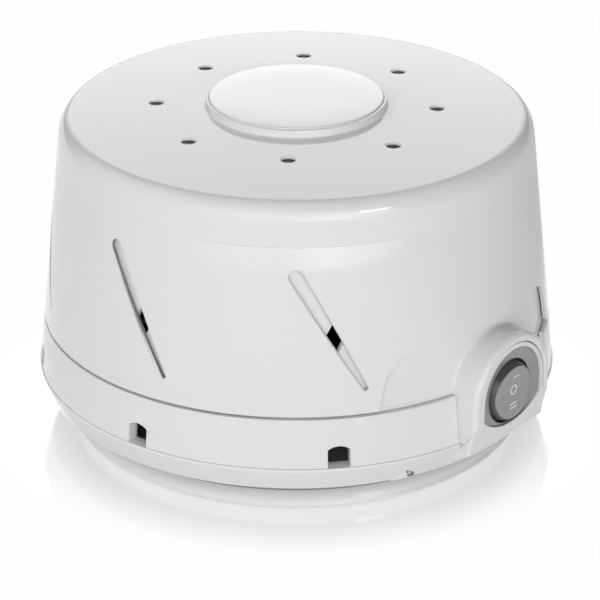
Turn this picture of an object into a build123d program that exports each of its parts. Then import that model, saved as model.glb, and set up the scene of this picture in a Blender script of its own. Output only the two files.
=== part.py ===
from build123d import *

import os
from math import asin, cos, degrees, radians, sin, sqrt, tan

# A round bedside sound machine. A small fan turns inside a slotted inner housing, and the cap and
# the collar turn by hand to open and close its ports. Millimetres, +Z up. The origin is on the
# axis of the body, on the plane that the feet stand on. The switch faces -Y. Directions round the
# body are angles from the switch, positive towards +X.

# ---- Outline of the body ----
BODY_R = 72.65               # radius of the side wall at the collar's lower edge
TAPER = 6.06                 # lean of the side wall from vertical, degrees
COLLAR_LOW = 16.8            # height of the collar's lower edge
COLLAR_H = 13.6
CAP_SEAM = 0.8               # open line between collar and cap
CORNER_Z = 89.1              # height where side wall and top would meet without their rounding
CROWN_RISE = 2.5             # how much the top's centre stands above that corner
SHOULDER_R = 6.0             # rounding between side wall and top
MOULD_LINE_Z = 77.6          # height of the fine line round the cap
MOULD_LINE = 0.12            # depth of that line

# ---- Walls and clearances ----
CAP_WALL = 1.3
CAP_GAP = 0.4                # cap to inner housing
HOUSING_WALL = 1.6
COLLAR_WALL = 1.5
COLLAR_GAP = 0.4             # collar to the base's upright wall
BASE_WALL = 1.8
SEAM = 0.15                  # parting gap between housing and base
SIDE_GAP = 0.3               # between pieces that turn past the switch hood
RUN_FIT = 0.05               # radial clearance of a turning pin or shaft
EPS = 0.01                   # overlap of two shapes that are joined into one solid
PAST = 1.0                   # how far a cutter runs past the face that it opens

# ---- Base ----
LIP_PROUD = 0.35             # lip in front of the collar's lower edge
LIP_H = 6.7
LIP_ROUND_H = 0.6            # height of the lip's rounded upper edge
LIP_LEAN = 2.3               # how much the lip draws in down to its lower edge
LEDGE_GAP = 0.2              # collar over the ledge that it stands on
RING_SETBACK = 9.8           # foot ring behind the lip
RING_WALL = 2.2
RING_LIFT = 0.3              # gap between the foot ring and the table
FLOOR_DROP = 0.6             # tray's underside below the lip's lower edge
FLOOR = 2.0                  # thickness of the tray's floor
FOOT_FROM_RING = 4.0         # between a foot and the foot ring
FOOT_COUNT = 4
FOOT_R = 5.0
FOOT_THICK = 2.0
FOOT_RECESS = 0.8

# ---- Sound ports ----
PORT_COUNT = 8
PORT_ANGLE = 45.0            # pitch of all the ports round the body
PORT_TURN = -41.5            # direction of the first collar port and housing slot
CAP_REST_TURN = -1.5         # the cap stands turned by this much from its middle position
NOTCH_W = 5.95
NOTCH_SIDE = 5.1             # straight height of a notch's sides
NOTCH_RISE = 1.0             # extra height of its arched top
COLLAR_TRAVEL = 10.0         # angle that the collar turns through
SLOT_TOP_Z = 69.6
SLOT_LOW_Z = 38.25
SLOT_TOP_R = 2.0
SLOT_LOW_R = 0.7
SLOT_SPREAD = 14.95          # angle between a slot's two ends
HOUSING_SLOT_R = 2.3
HOUSING_SLOT_SHIFT = 0.8       # the housing's slots stand turned by this much from the ports
FLANGE_INSET = 0.9           # the housing's flange behind the cap's face, seen as a dark line
VENT_ORBIT = 38.6
VENT_R = 2.0
HOUSING_VENT_R = 3.0         # the same holes in the inner housing are wider
VENT_TURN = -7.1

# ---- Cap ----
GATE_HALF_W = 36.5           # half width of the cut-out for the hood, at its foot
GATE_TOP_HALF_W = 33.2       # the same, at its top
GATE_H = 14.8
GATE_CORNER_R = 11.0
BADGE_RING_W = 1.0           # seat's rim round the badge
BADGE_SEAT_H = 1.7
BADGE_R = 24.0
BADGE_RECESS = 0.6
BADGE_RIM = 0.35             # how much the badge's edge stands out of its seat
BADGE_DOME = 0.7             # how much its centre stands above its edge
PIVOT_POST_R = 5.0           # post on the housing that the cap turns on
PIVOT_WEB = 0.9              # thickness of the cap's web round that post
PIVOT_FLOAT = 0.1            # play of the cap under its washer
PIVOT_DEEP = 4.0             # how far the post hangs into the housing
PIVOT_SCREW_R = 1.5
PIVOT_HEAD_R = 3.2
PIVOT_HEAD_H = 0.9
PIVOT_WASHER_R = 8.0
PIVOT_WASHER_T = 0.4

# ---- Hood and chin ----
HOOD_PROUD = 3.25            # hood's front plane in front of the collar's lower edge
HOOD_HALF_W = 17.0
HOOD_WALL = 2.65
HOOD_ROUND = 1.8
SWITCH_RISE = 10.4           # switch's axis above the ledge
CHIN_PROUD = 1.3             # how much the chin stands out of the lip
CHIN_FOOT_H = 0.8            # chin's sloping top starts this far above the ledge
CHIN_H = 6.8                 # chin's upper edge above the ledge
CHIN_SIDE_H = 3.2            # the same, at the hood's outer side
CHIN_SLOPE = 2.1             # how far the slope would run out in front of the hood
CHIN_DEEP = 3.9              # thickness of the chin's wings, behind them is the hood
PLATE_SETBACK = 0.35         # the plate's bead behind the hood's front
PLATE_DEEP = 4.5             # from the hood's front to the plate's back

# ---- Switch ----
BEZEL_SETBACK = 0.85         # flange behind the hood's front
BEZEL_HALF_W = 12.75
BEZEL_T = 1.6
BEZEL_DROP = 9.4             # from the switch's axis to the middle of the bezel's lower edge
BEZEL_LOW_R = 19.0           # radius of that lower edge
BEZEL_DISH = 0.65            # the flange's face sinks by this much towards the rocker
BEZEL_RIM = 0.55             # level rim round that sunk face
BEZEL_FIT = 0.05
ROCKER_DEEP = 4.55           # rocker's hinge behind the flange's face
ROCKER_R = 9.35              # the rocker is a slice of a ball of this radius
ROCKER_GAP = 0.25
ROCKER_PROUD = 1.05          # rocker's face in front of the flange
ROCKER_DIP = 0.8             # how much the face dips at its middle
ROCKER_TAIL = 2.1            # rocker behind its hinge
ROCKER_PIN_R = 1.2
ROCKER_PIN_SHORT = 0.5       # how far a pin's end stays inside the barrel
BARREL_R = 11.4
BARREL_LONG = 16.95
BARREL_FLOOR = 3.0
TAB_W = 6.3
TAB_T = 0.8
TAB_LONG = 7.5
TAB_PITCH = 6.6
TAB_COUNT = 3
SHOE_WALL = 0.8
SHOE_LONG = 8.0

# ---- Flex inlet ----
INLET_TURN = -26.7
INLET_W = 6.8
INLET_H = 3.0
GLAND_W = 10.0
GLAND_H = 6.3
GLAND_LONG = 8.1
GLAND_SETBACK = 2.1          # gland's outer face behind the lip's lower edge
FLEX_W = 5.4
FLEX_T = 2.7
FLEX_STEP = 5.4              # length of each of the two level runs of the gland's stepped passage

# ---- Screws between base and housing ----
POST_R = 3.6
POST_SPLIT_H = 8.7           # height over the tray's floor where a base boss meets a housing post
POST_TOP_H = 16.8            # housing post's top above the cap's lower edge
POST_TURN = 71.0
POST_ANGLE = 90.0
POST_COUNT = 4
CASE_SCREW_R = 1.5
CASE_SCREW_DEEP = 15.0       # length of the screw in the housing's post
CASE_HEAD_R = 2.9
CASE_HEAD_H = 2.0

# ---- Motor ----
SHAFT_R = 2.38
SHAFT_END = 0.7              # shaft below the lower bearing
MOTOR_LIFT = 13.7            # core above the tray's floor
STACK_T = 12.0
CORE_LEFT = -37.0
CORE_RIGHT = 19.0
CORE_HALF = 22.0
LEG_W = 9.0
WINDOW_RIGHT = -17.5
WINDOW_HALF = 14.0
BORE_R = 12.3
AIR_GAP = 0.35
END_RING_R = 10.5
END_RING_T = 2.0
THRUST_R = 4.0               # washers between rotor and bearings
WIRE_RING = 1.6              # section of a shading ring
RING_IN_X = 4.0
RING_OUT_X = 13.7
RING_Y = 14.4
BOBBIN_WALL = 1.2
BOBBIN_GAP = 0.2
BOBBIN_HALF = 13.4
COIL_T = 7.4
BOLT_Y = 18.8
BOLT_R = 1.9
BOLT_HEAD_R = 3.4
BOLT_HEAD_H = 2.4
BOLT_END = 1.0               # how far a bolt stands out of its nut
SHEET = 1.6                  # thickness of the sheet-metal brackets
BRACKET_HALF_W = 8.5
BRACKET_SPAN = 14.0
BEARING_R = 5.0
BEARING_LONG = 7.0
BEARING_CUP_R = 7.0
BRACKET_DEEP = 10.0          # from the stack to a bracket's outer face
MOUNT_X = 21.0
MOUNT_Y = 33.0
MOUNT_PAD = 5.5
GROMMET_R = 6.0
GROMMET_NECK_R = 3.6
GROMMET_FLANGE = 2.5
MOUNT_POST_R = 5.0
MOUNT_SCREW_R = 1.5
MOUNT_SCREW_DEEP = 6.0       # length of the screw in its post
MOUNT_HEAD_R = 3.0
MOUNT_HEAD_H = 1.8
WASHER_R = 5.0
WASHER_T = 0.6

# ---- Fan ----
FAN_LIFT = 4.5               # fan above the upper bearing
FAN_DISC_T = 1.6
FAN_R = 44.0
HUB_R = 7.0
HUB_H = 14.0
BLADE_IN_R = 16.0
BLADE_H = 15.0
BLADE_T = 1.6
BLADE_ANGLE = 24.0           # lean of a blade from the radius
BLADE_COUNT = 11
BLADE_STRAY_ANGLE = 5.0      # the blades stray by up to this angle from an even pitch
CLIP_R = 5.0
CLIP_T = 1.0
SHAFT_TIP = 2.0              # shaft above the clip

# ---- Leads ----
LEAD_R = 0.9
LEAD_OUT = 5.2               # straight run of both leads out of their sleeves
LEAD_BEND = 0.45             # bend radius as a share of the shorter run, before the turn's tangent

# ---- Heights and distances that follow ----
LEDGE_Z = COLLAR_LOW - LEDGE_GAP
COLLAR_HIGH = COLLAR_LOW + COLLAR_H
CAP_LOW = COLLAR_HIGH + CAP_SEAM
BASE_TOP = COLLAR_HIGH - CAP_SEAM + SIDE_GAP
GATE_TOP = CAP_LOW + GATE_H
LIP_WIDEST_Z = LEDGE_Z - LIP_ROUND_H
LIP_LOW_Z = LEDGE_Z - LIP_H
FLOOR_LOW = LIP_LOW_Z - FLOOR_DROP
FLOOR_TOP = FLOOR_LOW + FLOOR
CROWN_Z = CORNER_Z + CROWN_RISE
BADGE_SEAT_R = BADGE_R + BADGE_RING_W
BADGE_SEAT_Z = CROWN_Z + BADGE_SEAT_H
SWITCH_Z = LEDGE_Z + SWITCH_RISE
CHIN_FOOT_Z = LEDGE_Z + CHIN_FOOT_H
CHIN_TOP_Z = LEDGE_Z + CHIN_H
CHIN_SIDE_Z = LEDGE_Z + CHIN_SIDE_H
GLAND_TOP = FLOOR_LOW + GLAND_H
POST_SPLIT_Z = FLOOR_TOP + POST_SPLIT_H
POST_TOP_Z = CAP_LOW + POST_TOP_H
STACK_LOW = FLOOR_TOP + MOTOR_LIFT
STACK_HIGH = STACK_LOW + STACK_T
FAN_LOW = STACK_HIGH + BRACKET_DEEP + FAN_LIFT
SHAFT_LOW = STACK_LOW - BRACKET_DEEP - SHAFT_END
SHAFT_HIGH = FAN_LOW + HUB_H + CLIP_T + SHAFT_TIP
LIP_R = BODY_R + LIP_PROUD
LIP_LOW_R = LIP_R - LIP_LEAN
RING_R = LIP_R - RING_SETBACK
FOOT_ORBIT = RING_R - RING_WALL - FOOT_FROM_RING - FOOT_R
POST_ORBIT = RING_R - RING_WALL - BASE_WALL - SIDE_GAP - CASE_HEAD_R
GLAND_HIGH_R = LIP_LOW_R - GLAND_SETBACK
GLAND_LOW_R = GLAND_HIGH_R - GLAND_LONG
HOOD_FRONT = BODY_R + HOOD_PROUD
CHIN_TOP_R = HOOD_FRONT + CHIN_SLOPE
CHIN_BACK = HOOD_FRONT - CHIN_DEEP
PLATE_BACK = HOOD_FRONT - PLATE_DEEP
HOOD_IN_W = HOOD_HALF_W - HOOD_WALL
PLATE_HALF_W = HOOD_IN_W - SEAM
BEZEL_FRONT = HOOD_FRONT - BEZEL_SETBACK
BEZEL_BACK = BEZEL_FRONT - BEZEL_T
BARREL_BACK = BEZEL_BACK - BARREL_LONG
ROCKER_FRONT = BEZEL_FRONT + ROCKER_PROUD
PIVOT_FROM_AXIS = BEZEL_FRONT - ROCKER_DEEP
ROCKER_BACK = PIVOT_FROM_AXIS - ROCKER_TAIL
SHOE_FRONT = BARREL_BACK - SIDE_GAP
SHOE_BACK = SHOE_FRONT - SHOE_LONG
HOUSING_INSET = CAP_WALL + CAP_GAP
HOUSING_IN = HOUSING_INSET + HOUSING_WALL
WALL_INSET = COLLAR_WALL + COLLAR_GAP
WALL_IN = WALL_INSET + BASE_WALL
PIVOT_TOP = CROWN_Z - CAP_WALL + PIVOT_WEB
PIVOT_LOW = CROWN_Z - HOUSING_IN - PIVOT_DEEP
GROMMET_LOW = STACK_LOW - SHEET - GROMMET_FLANGE
GROMMET_TOP = STACK_LOW + GROMMET_FLANGE
MOUNT_SCREW_LOW = GROMMET_LOW - MOUNT_SCREW_DEEP
CASE_SCREW_TOP = POST_SPLIT_Z + CASE_SCREW_DEEP
COIL_GROW = BOBBIN_GAP + BOBBIN_WALL + COIL_T
UNDER_COIL_Z = STACK_LOW - COIL_GROW / 2
OVER_COIL_Z = STACK_HIGH + COIL_GROW / 2
FLEX_OUT_Z = FLOOR_LOW + INLET_H / 2
FLEX_IN_Z = FLEX_OUT_Z + FLEX_T - RUN_FIT


# ---- Shared shapes ----
def wall_r(z, inset=0.0):
    """Radius of the tapered side wall at a height, moved inwards by inset."""
    return BODY_R - (z - COLLAR_LOW) * tan(radians(TAPER)) - inset / cos(radians(TAPER))


def facing(angle):
    """Upright plane through the axis whose normal points out of the body at an angle."""
    a = radians(angle)
    return Plane(origin=(0, 0, 0), x_dir=(cos(a), sin(a), 0), z_dir=(sin(a), -cos(a), 0))


def turned(points):
    """Solid of revolution of a closed outline of radius and height."""
    face = make_face(Plane.XZ * Polyline(*points, close=True))
    return revolve(face, Axis.Z)


def band(out_inset, in_inset, low, high):
    """Ring with the side wall's taper, between two insets and two heights."""
    return turned([
        (wall_r(low, out_inset), low),
        (wall_r(high, out_inset), high),
        (wall_r(high, in_inset), high),
        (wall_r(low, in_inset), low),
    ])


def bell(inset, low):
    """Full solid inside the side wall and the crowned top, moved inwards by inset."""
    corner_z = CORNER_Z - inset
    corner_r = wall_r(corner_z, inset)
    crown_z = corner_z + CROWN_RISE
    crown_r = (corner_r ** 2 + CROWN_RISE ** 2) / (2 * CROWN_RISE)
    half_r = corner_r / 2
    half_z = crown_z - crown_r + sqrt(crown_r ** 2 - half_r ** 2)
    foot = (wall_r(low, inset), low)
    outline = Polyline((0, crown_z), (0, low), foot, (corner_r, corner_z))
    crown = ThreePointArc((corner_r, corner_z), (half_r, half_z), (0, crown_z))
    half_section = make_face(outline + crown)
    corner = half_section.vertices().sort_by_distance((corner_r, corner_z))[0]
    half_section = fillet(corner, max(SHOULDER_R - inset, 1.0))
    return revolve(Plane.XZ * half_section, Axis.Z)


def rod(radius, low, high, x=0.0, y=0.0):
    """Upright cylinder between two heights."""
    return Pos(x, y, (low + high) / 2) * Cylinder(radius, high - low)


def block(x_low, x_high, y_low, y_high, z_low, z_high):
    """Box between two corners."""
    middle = Pos((x_low + x_high) / 2, (y_low + y_high) / 2, (z_low + z_high) / 2)
    return middle * Box(x_high - x_low, y_high - y_low, z_high - z_low)


def front_prism(sketch, near, far):
    """Sketch drawn on the front view, extruded from one distance in front of the axis to another."""
    return extrude(facing(0).offset(near) * sketch, far - near)


def arch(half_w, centre_z, low):
    """Upright U, open downwards: a half circle on two straight legs, as a filled outline."""
    legs = Pos(0, (centre_z + low) / 2) * Rectangle(2 * half_w, centre_z - low)
    return Pos(0, centre_z) * Circle(half_w) + legs


def on_circle(orbit, angle):
    """Point at an angle round the body."""
    return orbit * sin(radians(angle)), -orbit * cos(radians(angle))


def port_angles(first):
    """Directions of the ports round the body, leaving out the one at the switch."""
    angles = [first + PORT_ANGLE * k for k in range(PORT_COUNT)]
    hood_angle = degrees(asin(HOOD_HALF_W / BODY_R))
    return [a for a in angles if abs((a + 180) % 360 - 180) > hood_angle]


def leaning_slot(angle, lean, top_r, low_r):
    """Teardrop cutter through the side wall, leaning by an angle from its low end to its top end."""
    near = wall_r(CORNER_Z) - 2 * SHOULDER_R
    half = radians(SLOT_SPREAD / 2)
    top_u = -lean * wall_r(SLOT_TOP_Z) * sin(half)
    low_u = lean * wall_r(SLOT_LOW_Z) * sin(half)
    ends = Pos(top_u, SLOT_TOP_Z) * Circle(top_r) + Pos(low_u, SLOT_LOW_Z) * Circle(low_r)
    return extrude(facing(angle).offset(near) * make_hull(ends.edges()), LIP_R - near)


def vents(turn, radius, low, high):
    """Cutters of the round holes in the top."""
    found = []
    for k in range(PORT_COUNT):
        x, y = on_circle(VENT_ORBIT, turn + PORT_ANGLE * k)
        found.append(rod(radius, low, high, x, y))
    return found


def notch(angle, reach):
    """Cutter of a port at the collar's lower edge, as a mouse hole."""
    half = NOTCH_W / 2
    top = LEDGE_Z + NOTCH_SIDE
    low = LEDGE_Z
    outline = Polyline((half, top), (half, low), (-half, low), (-half, top))
    crown = ThreePointArc((-half, top), (0, top + NOTCH_RISE), (half, top))
    return extrude(facing(angle).offset(LIP_R - reach) * make_face(outline + crown), reach)


def lead(*points):
    """Insulated wire along straight runs joined by tangent arcs."""
    stops = [Vector(*p) for p in points]
    radii = []
    for before, at, after in zip(stops, stops[1:], stops[2:]):
        turn = radians((at - before).get_angle(after - at))
        shorter = min((at - before).length, (after - at).length)
        radii.append(LEAD_BEND * shorter / tan(turn / 2))
    path = FilletPolyline(*stops, radius=radii) if len(stops) > 2 else Line(*stops)
    section = Plane(origin=path @ 0, z_dir=path % 0) * Circle(LEAD_R)
    return sweep(section, path=path)


# ---- Housings and covers ----
def chin_outline(inset=0.0):
    """Outline of the chin under the switch, from the lip's lower edge up to the hood."""
    return [
        (GLAND_HIGH_R, LIP_LOW_Z),
        (LIP_LOW_R + CHIN_PROUD - inset, LIP_LOW_Z + CHIN_PROUD / 2),
        (LIP_R + CHIN_PROUD - inset, CHIN_FOOT_Z),
        (CHIN_TOP_R - inset, CHIN_TOP_Z),
        (CHIN_TOP_R - inset, CHIN_TOP_Z + EPS),
        (GLAND_HIGH_R, CHIN_TOP_Z + EPS),
    ]


def chin_front_view(gap):
    """Front outline of the chin: full height inside the hood, falling off to the hood's outer side."""
    half_in = HOOD_IN_W
    half_out = HOOD_HALF_W
    low = LIP_LOW_Z
    return make_face(Polyline(
        (-half_out, low), (half_out, low), (half_out, CHIN_SIDE_Z + gap), (half_in, CHIN_TOP_Z + gap),
        (-half_in, CHIN_TOP_Z + gap), (-half_out, CHIN_SIDE_Z + gap), close=True,
    ))


def bezel_outline(grow=0.0):
    """Front outline of the switch's flange: a half circle, straight sides and a bowed lower edge."""
    half = BEZEL_HALF_W + grow
    low = SWITCH_Z - BEZEL_DROP - grow
    side_low = low + BEZEL_LOW_R - sqrt(BEZEL_LOW_R ** 2 - half ** 2)
    sides = Line((-half, SWITCH_Z), (-half, side_low)) + Line((half, side_low), (half, SWITCH_Z))
    bottom = ThreePointArc((-half, side_low), (0, low), (half, side_low))
    top = ThreePointArc((half, SWITCH_Z), (0, SWITCH_Z + half), (-half, SWITCH_Z))
    return make_face(sides + bottom + top)


def base_shell():
    """Tray with its foot ring, lip and upright wall."""
    wall_low = wall_r(LEDGE_Z, WALL_INSET)
    wall_high = wall_r(BASE_TOP, WALL_INSET)
    in_low = wall_r(FLOOR_TOP, WALL_IN)
    in_high = wall_r(BASE_TOP, WALL_IN)
    lip_mid = ((LIP_R + LIP_LOW_R) / 2 + RUN_FIT, (LIP_WIDEST_Z + LIP_LOW_Z) / 2)
    return turned([
        (RING_R - RING_WALL, RING_LIFT), (RING_R, RING_LIFT), (RING_R, FLOOR_LOW),
        (LIP_LOW_R - BASE_WALL / 2, FLOOR_LOW), (LIP_LOW_R, LIP_LOW_Z), lip_mid, (LIP_R, LIP_WIDEST_Z),
        (LIP_R - SEAM, LEDGE_Z), (wall_low, LEDGE_Z), (wall_high, BASE_TOP), (in_high, BASE_TOP),
        (in_low, FLOOR_TOP), (0, FLOOR_TOP), (0, FLOOR_LOW), (RING_R - RING_WALL, FLOOR_LOW),
    ])


def switch_plate():
    """Upright plate and chin that carry the switch, before their cut-outs."""
    slab = front_prism(arch(PLATE_HALF_W, SWITCH_Z, LEDGE_Z), PLATE_BACK, HOOD_FRONT - PLATE_SETBACK)
    wings = front_prism(chin_front_view(0), CHIN_BACK, HOOD_FRONT)
    middle_h = CHIN_TOP_Z - LIP_LOW_Z
    middle = Pos(0, LIP_LOW_Z + middle_h / 2) * Rectangle(2 * PLATE_HALF_W, middle_h)
    chin = turned(chin_outline()) & (wings + front_prism(middle, PLATE_BACK, HOOD_FRONT))
    return slab + chin


def switch_room():
    """Cutter of the pocket for the switch's flange and the hole for its barrel."""
    pocket = front_prism(bezel_outline(BEZEL_FIT), BEZEL_BACK, HOOD_FRONT + PAST)
    barrel = Pos(0, SWITCH_Z) * Circle(BARREL_R + BEZEL_FIT)
    return pocket + front_prism(barrel, BARREL_BACK, BEZEL_BACK + BEZEL_FIT)


def inlet_cut():
    """Arched groove under the lip for the flex, and the pocket of the gland behind it."""
    low = FLOOR_LOW
    half = INLET_W / 2
    side = INLET_H - half / 2
    outline = Polyline((half, low + side), (half, low), (-half, low), (-half, low + side))
    crown = ThreePointArc((-half, low + side), (0, low + INLET_H), (half, low + side))
    groove = extrude(facing(INLET_TURN).offset(GLAND_LOW_R) * make_face(outline + crown), LIP_R - GLAND_LOW_R)
    height = GLAND_TOP - FLOOR_LOW
    seat = Pos(0, FLOOR_LOW + height / 2) * Rectangle(GLAND_W, height)
    return groove + extrude(facing(INLET_TURN).offset(GLAND_LOW_R) * seat, GLAND_HIGH_R - GLAND_LOW_R)


def make_base():
    """Base: tray, foot ring, lip, upright wall with ports, screw bosses, motor posts, switch plate."""
    solid = base_shell()
    half = HOOD_HALF_W + SEAM
    solid -= block(-half, half, -LIP_R, -BARREL_BACK, LEDGE_Z, BASE_TOP + PAST)
    for angle in port_angles(PORT_TURN):
        solid -= notch(angle, LIP_R - wall_r(LEDGE_Z, WALL_IN) + BASE_WALL)
    for k in range(POST_COUNT):
        x, y = on_circle(POST_ORBIT, POST_TURN + POST_ANGLE * k)
        solid += rod(POST_R, FLOOR_LOW, POST_SPLIT_Z, x, y)
        solid -= rod(CASE_SCREW_R + SIDE_GAP, 0, POST_SPLIT_Z, x, y)
        solid -= rod(CASE_HEAD_R + SIDE_GAP, 0, FLOOR_TOP, x, y)
    for x in (-MOUNT_X, MOUNT_X):
        for y in (-MOUNT_Y, MOUNT_Y):
            solid += rod(MOUNT_POST_R, FLOOR_TOP - EPS, GROMMET_LOW, x, y)
            solid -= rod(MOUNT_SCREW_R, MOUNT_SCREW_LOW - PAST, GROMMET_LOW, x, y)
    for k in range(FOOT_COUNT):
        x, y = on_circle(FOOT_ORBIT, PORT_ANGLE * (2 * k + 1))
        solid += rod(FOOT_R + BASE_WALL, FOOT_THICK - FOOT_RECESS, FLOOR_LOW + EPS, x, y)
        solid -= rod(FOOT_R, 0, FOOT_THICK, x, y)
    return solid + switch_plate() - switch_room() - inlet_cut()


def hood():
    """Arched hood round the switch, with its legs cut off along the chin."""
    back = wall_r(LEDGE_Z, WALL_IN) - HOUSING_WALL
    outer = front_prism(arch(HOOD_HALF_W, SWITCH_Z, LEDGE_Z + SEAM), back, HOOD_FRONT)
    front = outer.faces().sort_by(Axis.Y)[0]
    outer = fillet(front.edges().filter_by(GeomType.LINE, reverse=True) + [
        e for e in front.edges().filter_by(GeomType.LINE) if abs(e.center().X) > HOOD_IN_W
    ], HOOD_ROUND)
    chin_room = front_prism(chin_front_view(SEAM), CHIN_BACK - SEAM, HOOD_FRONT)
    opening = front_prism(arch(HOOD_IN_W, SWITCH_Z, 0), 0, HOOD_FRONT)
    return outer - chin_room - opening


def make_housing():
    """Inner housing: slotted bell with its flange, screw posts, pivot post and the switch hood."""
    hollow = bell(HOUSING_IN, 0)
    solid = bell(HOUSING_INSET, CAP_LOW - EPS) - hollow
    for angle in port_angles(PORT_TURN + HOUSING_SLOT_SHIFT):
        solid -= leaning_slot(angle, -1, HOUSING_SLOT_R, HOUSING_SLOT_R)
    for cutter in vents(VENT_TURN + HOUSING_SLOT_SHIFT, HOUSING_VENT_R, CORNER_Z - SHOULDER_R, CROWN_Z):
        solid -= cutter
    flange_low = COLLAR_HIGH + SEAM
    solid += band(FLANGE_INSET, WALL_IN, flange_low, CAP_LOW)
    solid += band(WALL_INSET, WALL_IN, BASE_TOP, flange_low + EPS)
    solid += hood() - hollow
    solid -= front_prism(arch(HOOD_IN_W, SWITCH_Z, 0), BARREL_BACK, LIP_R)
    for k in range(POST_COUNT):
        angle = POST_TURN + POST_ANGLE * k
        x, y = on_circle(POST_ORBIT, angle)
        height = POST_TOP_Z - CAP_LOW
        rib = Pos(0, CAP_LOW + height / 2) * Rectangle(HOUSING_WALL, height)
        rib = extrude(facing(angle).offset(POST_ORBIT) * rib, LIP_R - POST_ORBIT)
        solid += rib & bell(HOUSING_INSET + HOUSING_WALL / 2, 0)
        solid += rod(POST_R, POST_SPLIT_Z, POST_TOP_Z, x, y)
        solid -= rod(CASE_SCREW_R, POST_SPLIT_Z, CASE_SCREW_TOP + PAST, x, y)
    solid += rod(PIVOT_POST_R, PIVOT_LOW, PIVOT_TOP + PIVOT_FLOAT)
    return solid - rod(PIVOT_SCREW_R, PIVOT_LOW, BADGE_SEAT_Z)


def gate():
    """Front outline of the cap's cut-out for the hood: a trapezium with rounded upper corners."""
    outline = make_face(Polyline(
        (-GATE_HALF_W, CAP_LOW), (GATE_HALF_W, CAP_LOW), (GATE_TOP_HALF_W, GATE_TOP),
        (-GATE_TOP_HALF_W, GATE_TOP), close=True,
    ))
    return fillet(outline.vertices().group_by(Axis.Y)[-1], GATE_CORNER_R)


def make_cap():
    """Cap: outer bell with leaning slots, top holes, badge seat and the cut-out for the hood."""
    solid = bell(0, CAP_LOW) - bell(CAP_WALL, 0)
    line_r = wall_r(MOULD_LINE_Z)
    solid -= turned([
        (line_r - MOULD_LINE, MOULD_LINE_Z),
        (line_r + MOULD_LINE, MOULD_LINE_Z - 2 * MOULD_LINE),
        (line_r + MOULD_LINE, MOULD_LINE_Z + 2 * MOULD_LINE),
    ])
    solid += rod(BADGE_SEAT_R, CROWN_Z - CAP_WALL, BADGE_SEAT_Z) - bell(CAP_WALL, 0)
    solid -= rod(BADGE_R + BEZEL_FIT, BADGE_SEAT_Z - BADGE_RECESS, BADGE_SEAT_Z)
    solid -= rod(PIVOT_POST_R + RUN_FIT, CORNER_Z - CAP_WALL, BADGE_SEAT_Z)
    solid -= rod(PIVOT_WASHER_R + SIDE_GAP, PIVOT_TOP, BADGE_SEAT_Z)
    solid -= front_prism(gate(), 0, LIP_R)
    for angle in port_angles(PORT_TURN):
        solid -= leaning_slot(angle, 1, SLOT_TOP_R, SLOT_LOW_R)
    for cutter in vents(VENT_TURN, VENT_R, CORNER_Z - SHOULDER_R, CROWN_Z):
        solid -= cutter
    return Rot(0, 0, CAP_REST_TURN) * solid


def make_badge():
    """Domed disc on the cap's top."""
    low = BADGE_SEAT_Z - BADGE_RECESS
    rim = BADGE_SEAT_Z + BADGE_RIM
    outline = Polyline((0, rim + BADGE_DOME), (0, low), (BADGE_R, low), (BADGE_R, rim))
    half_r = BADGE_R / 2
    ball = (BADGE_R ** 2 + BADGE_DOME ** 2) / (2 * BADGE_DOME)
    half_z = rim + BADGE_DOME - ball + sqrt(ball ** 2 - half_r ** 2)
    dome = ThreePointArc((BADGE_R, rim), (half_r, half_z), (0, rim + BADGE_DOME))
    return Rot(0, 0, CAP_REST_TURN) * revolve(make_face(Plane.XZ * (outline + dome)), Axis.Z)


def make_collar():
    """Collar: ported band under the cap, open where the hood stands."""
    solid = band(0, COLLAR_WALL, COLLAR_LOW, COLLAR_HIGH)
    half = HOOD_HALF_W + SIDE_GAP
    room = block(-half, half, -HOOD_FRONT, -BARREL_BACK, COLLAR_LOW, COLLAR_HIGH)
    steps = 4
    for step in range(steps + 1):
        solid -= Rot(0, 0, COLLAR_TRAVEL * step / steps) * room
    for angle in port_angles(PORT_TURN):
        solid -= notch(angle, COLLAR_WALL + COLLAR_GAP + BASE_WALL)
    return solid


# ---- Switch ----
def at_rocker(shape):
    """Shape moved to the rocker's hinge."""
    return Pos(0, -PIVOT_FROM_AXIS, SWITCH_Z) * shape


def make_bezel():
    """Flange of the switch round the rocker."""
    flange = front_prism(bezel_outline(), BEZEL_BACK, BEZEL_FRONT)
    room_r = ROCKER_R + ROCKER_GAP
    sunk_r = sqrt(room_r ** 2 - (ROCKER_DEEP - BEZEL_DISH) ** 2)
    dish = Rot(90, 0, 0) * Cone(sunk_r, BEZEL_HALF_W - BEZEL_RIM, BEZEL_DISH)
    flange -= Pos(0, BEZEL_DISH / 2 - BEZEL_FRONT, SWITCH_Z) * dish
    return flange - at_rocker(Sphere(room_r))


def make_switch_body():
    """Barrel of the switch behind its flange, hollow for the rocker."""
    solid = front_prism(Pos(0, SWITCH_Z) * Circle(BARREL_R), BARREL_BACK, BEZEL_BACK)
    room = Pos(0, SWITCH_Z) * Circle(ROCKER_R + ROCKER_GAP)
    solid -= front_prism(room, BARREL_BACK + BARREL_FLOOR, PIVOT_FROM_AXIS)
    solid -= at_rocker(Sphere(ROCKER_R + ROCKER_GAP))
    return solid - at_rocker(Rot(0, 90, 0) * Cylinder(ROCKER_PIN_R + RUN_FIT, 2 * BARREL_R + PAST))


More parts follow.
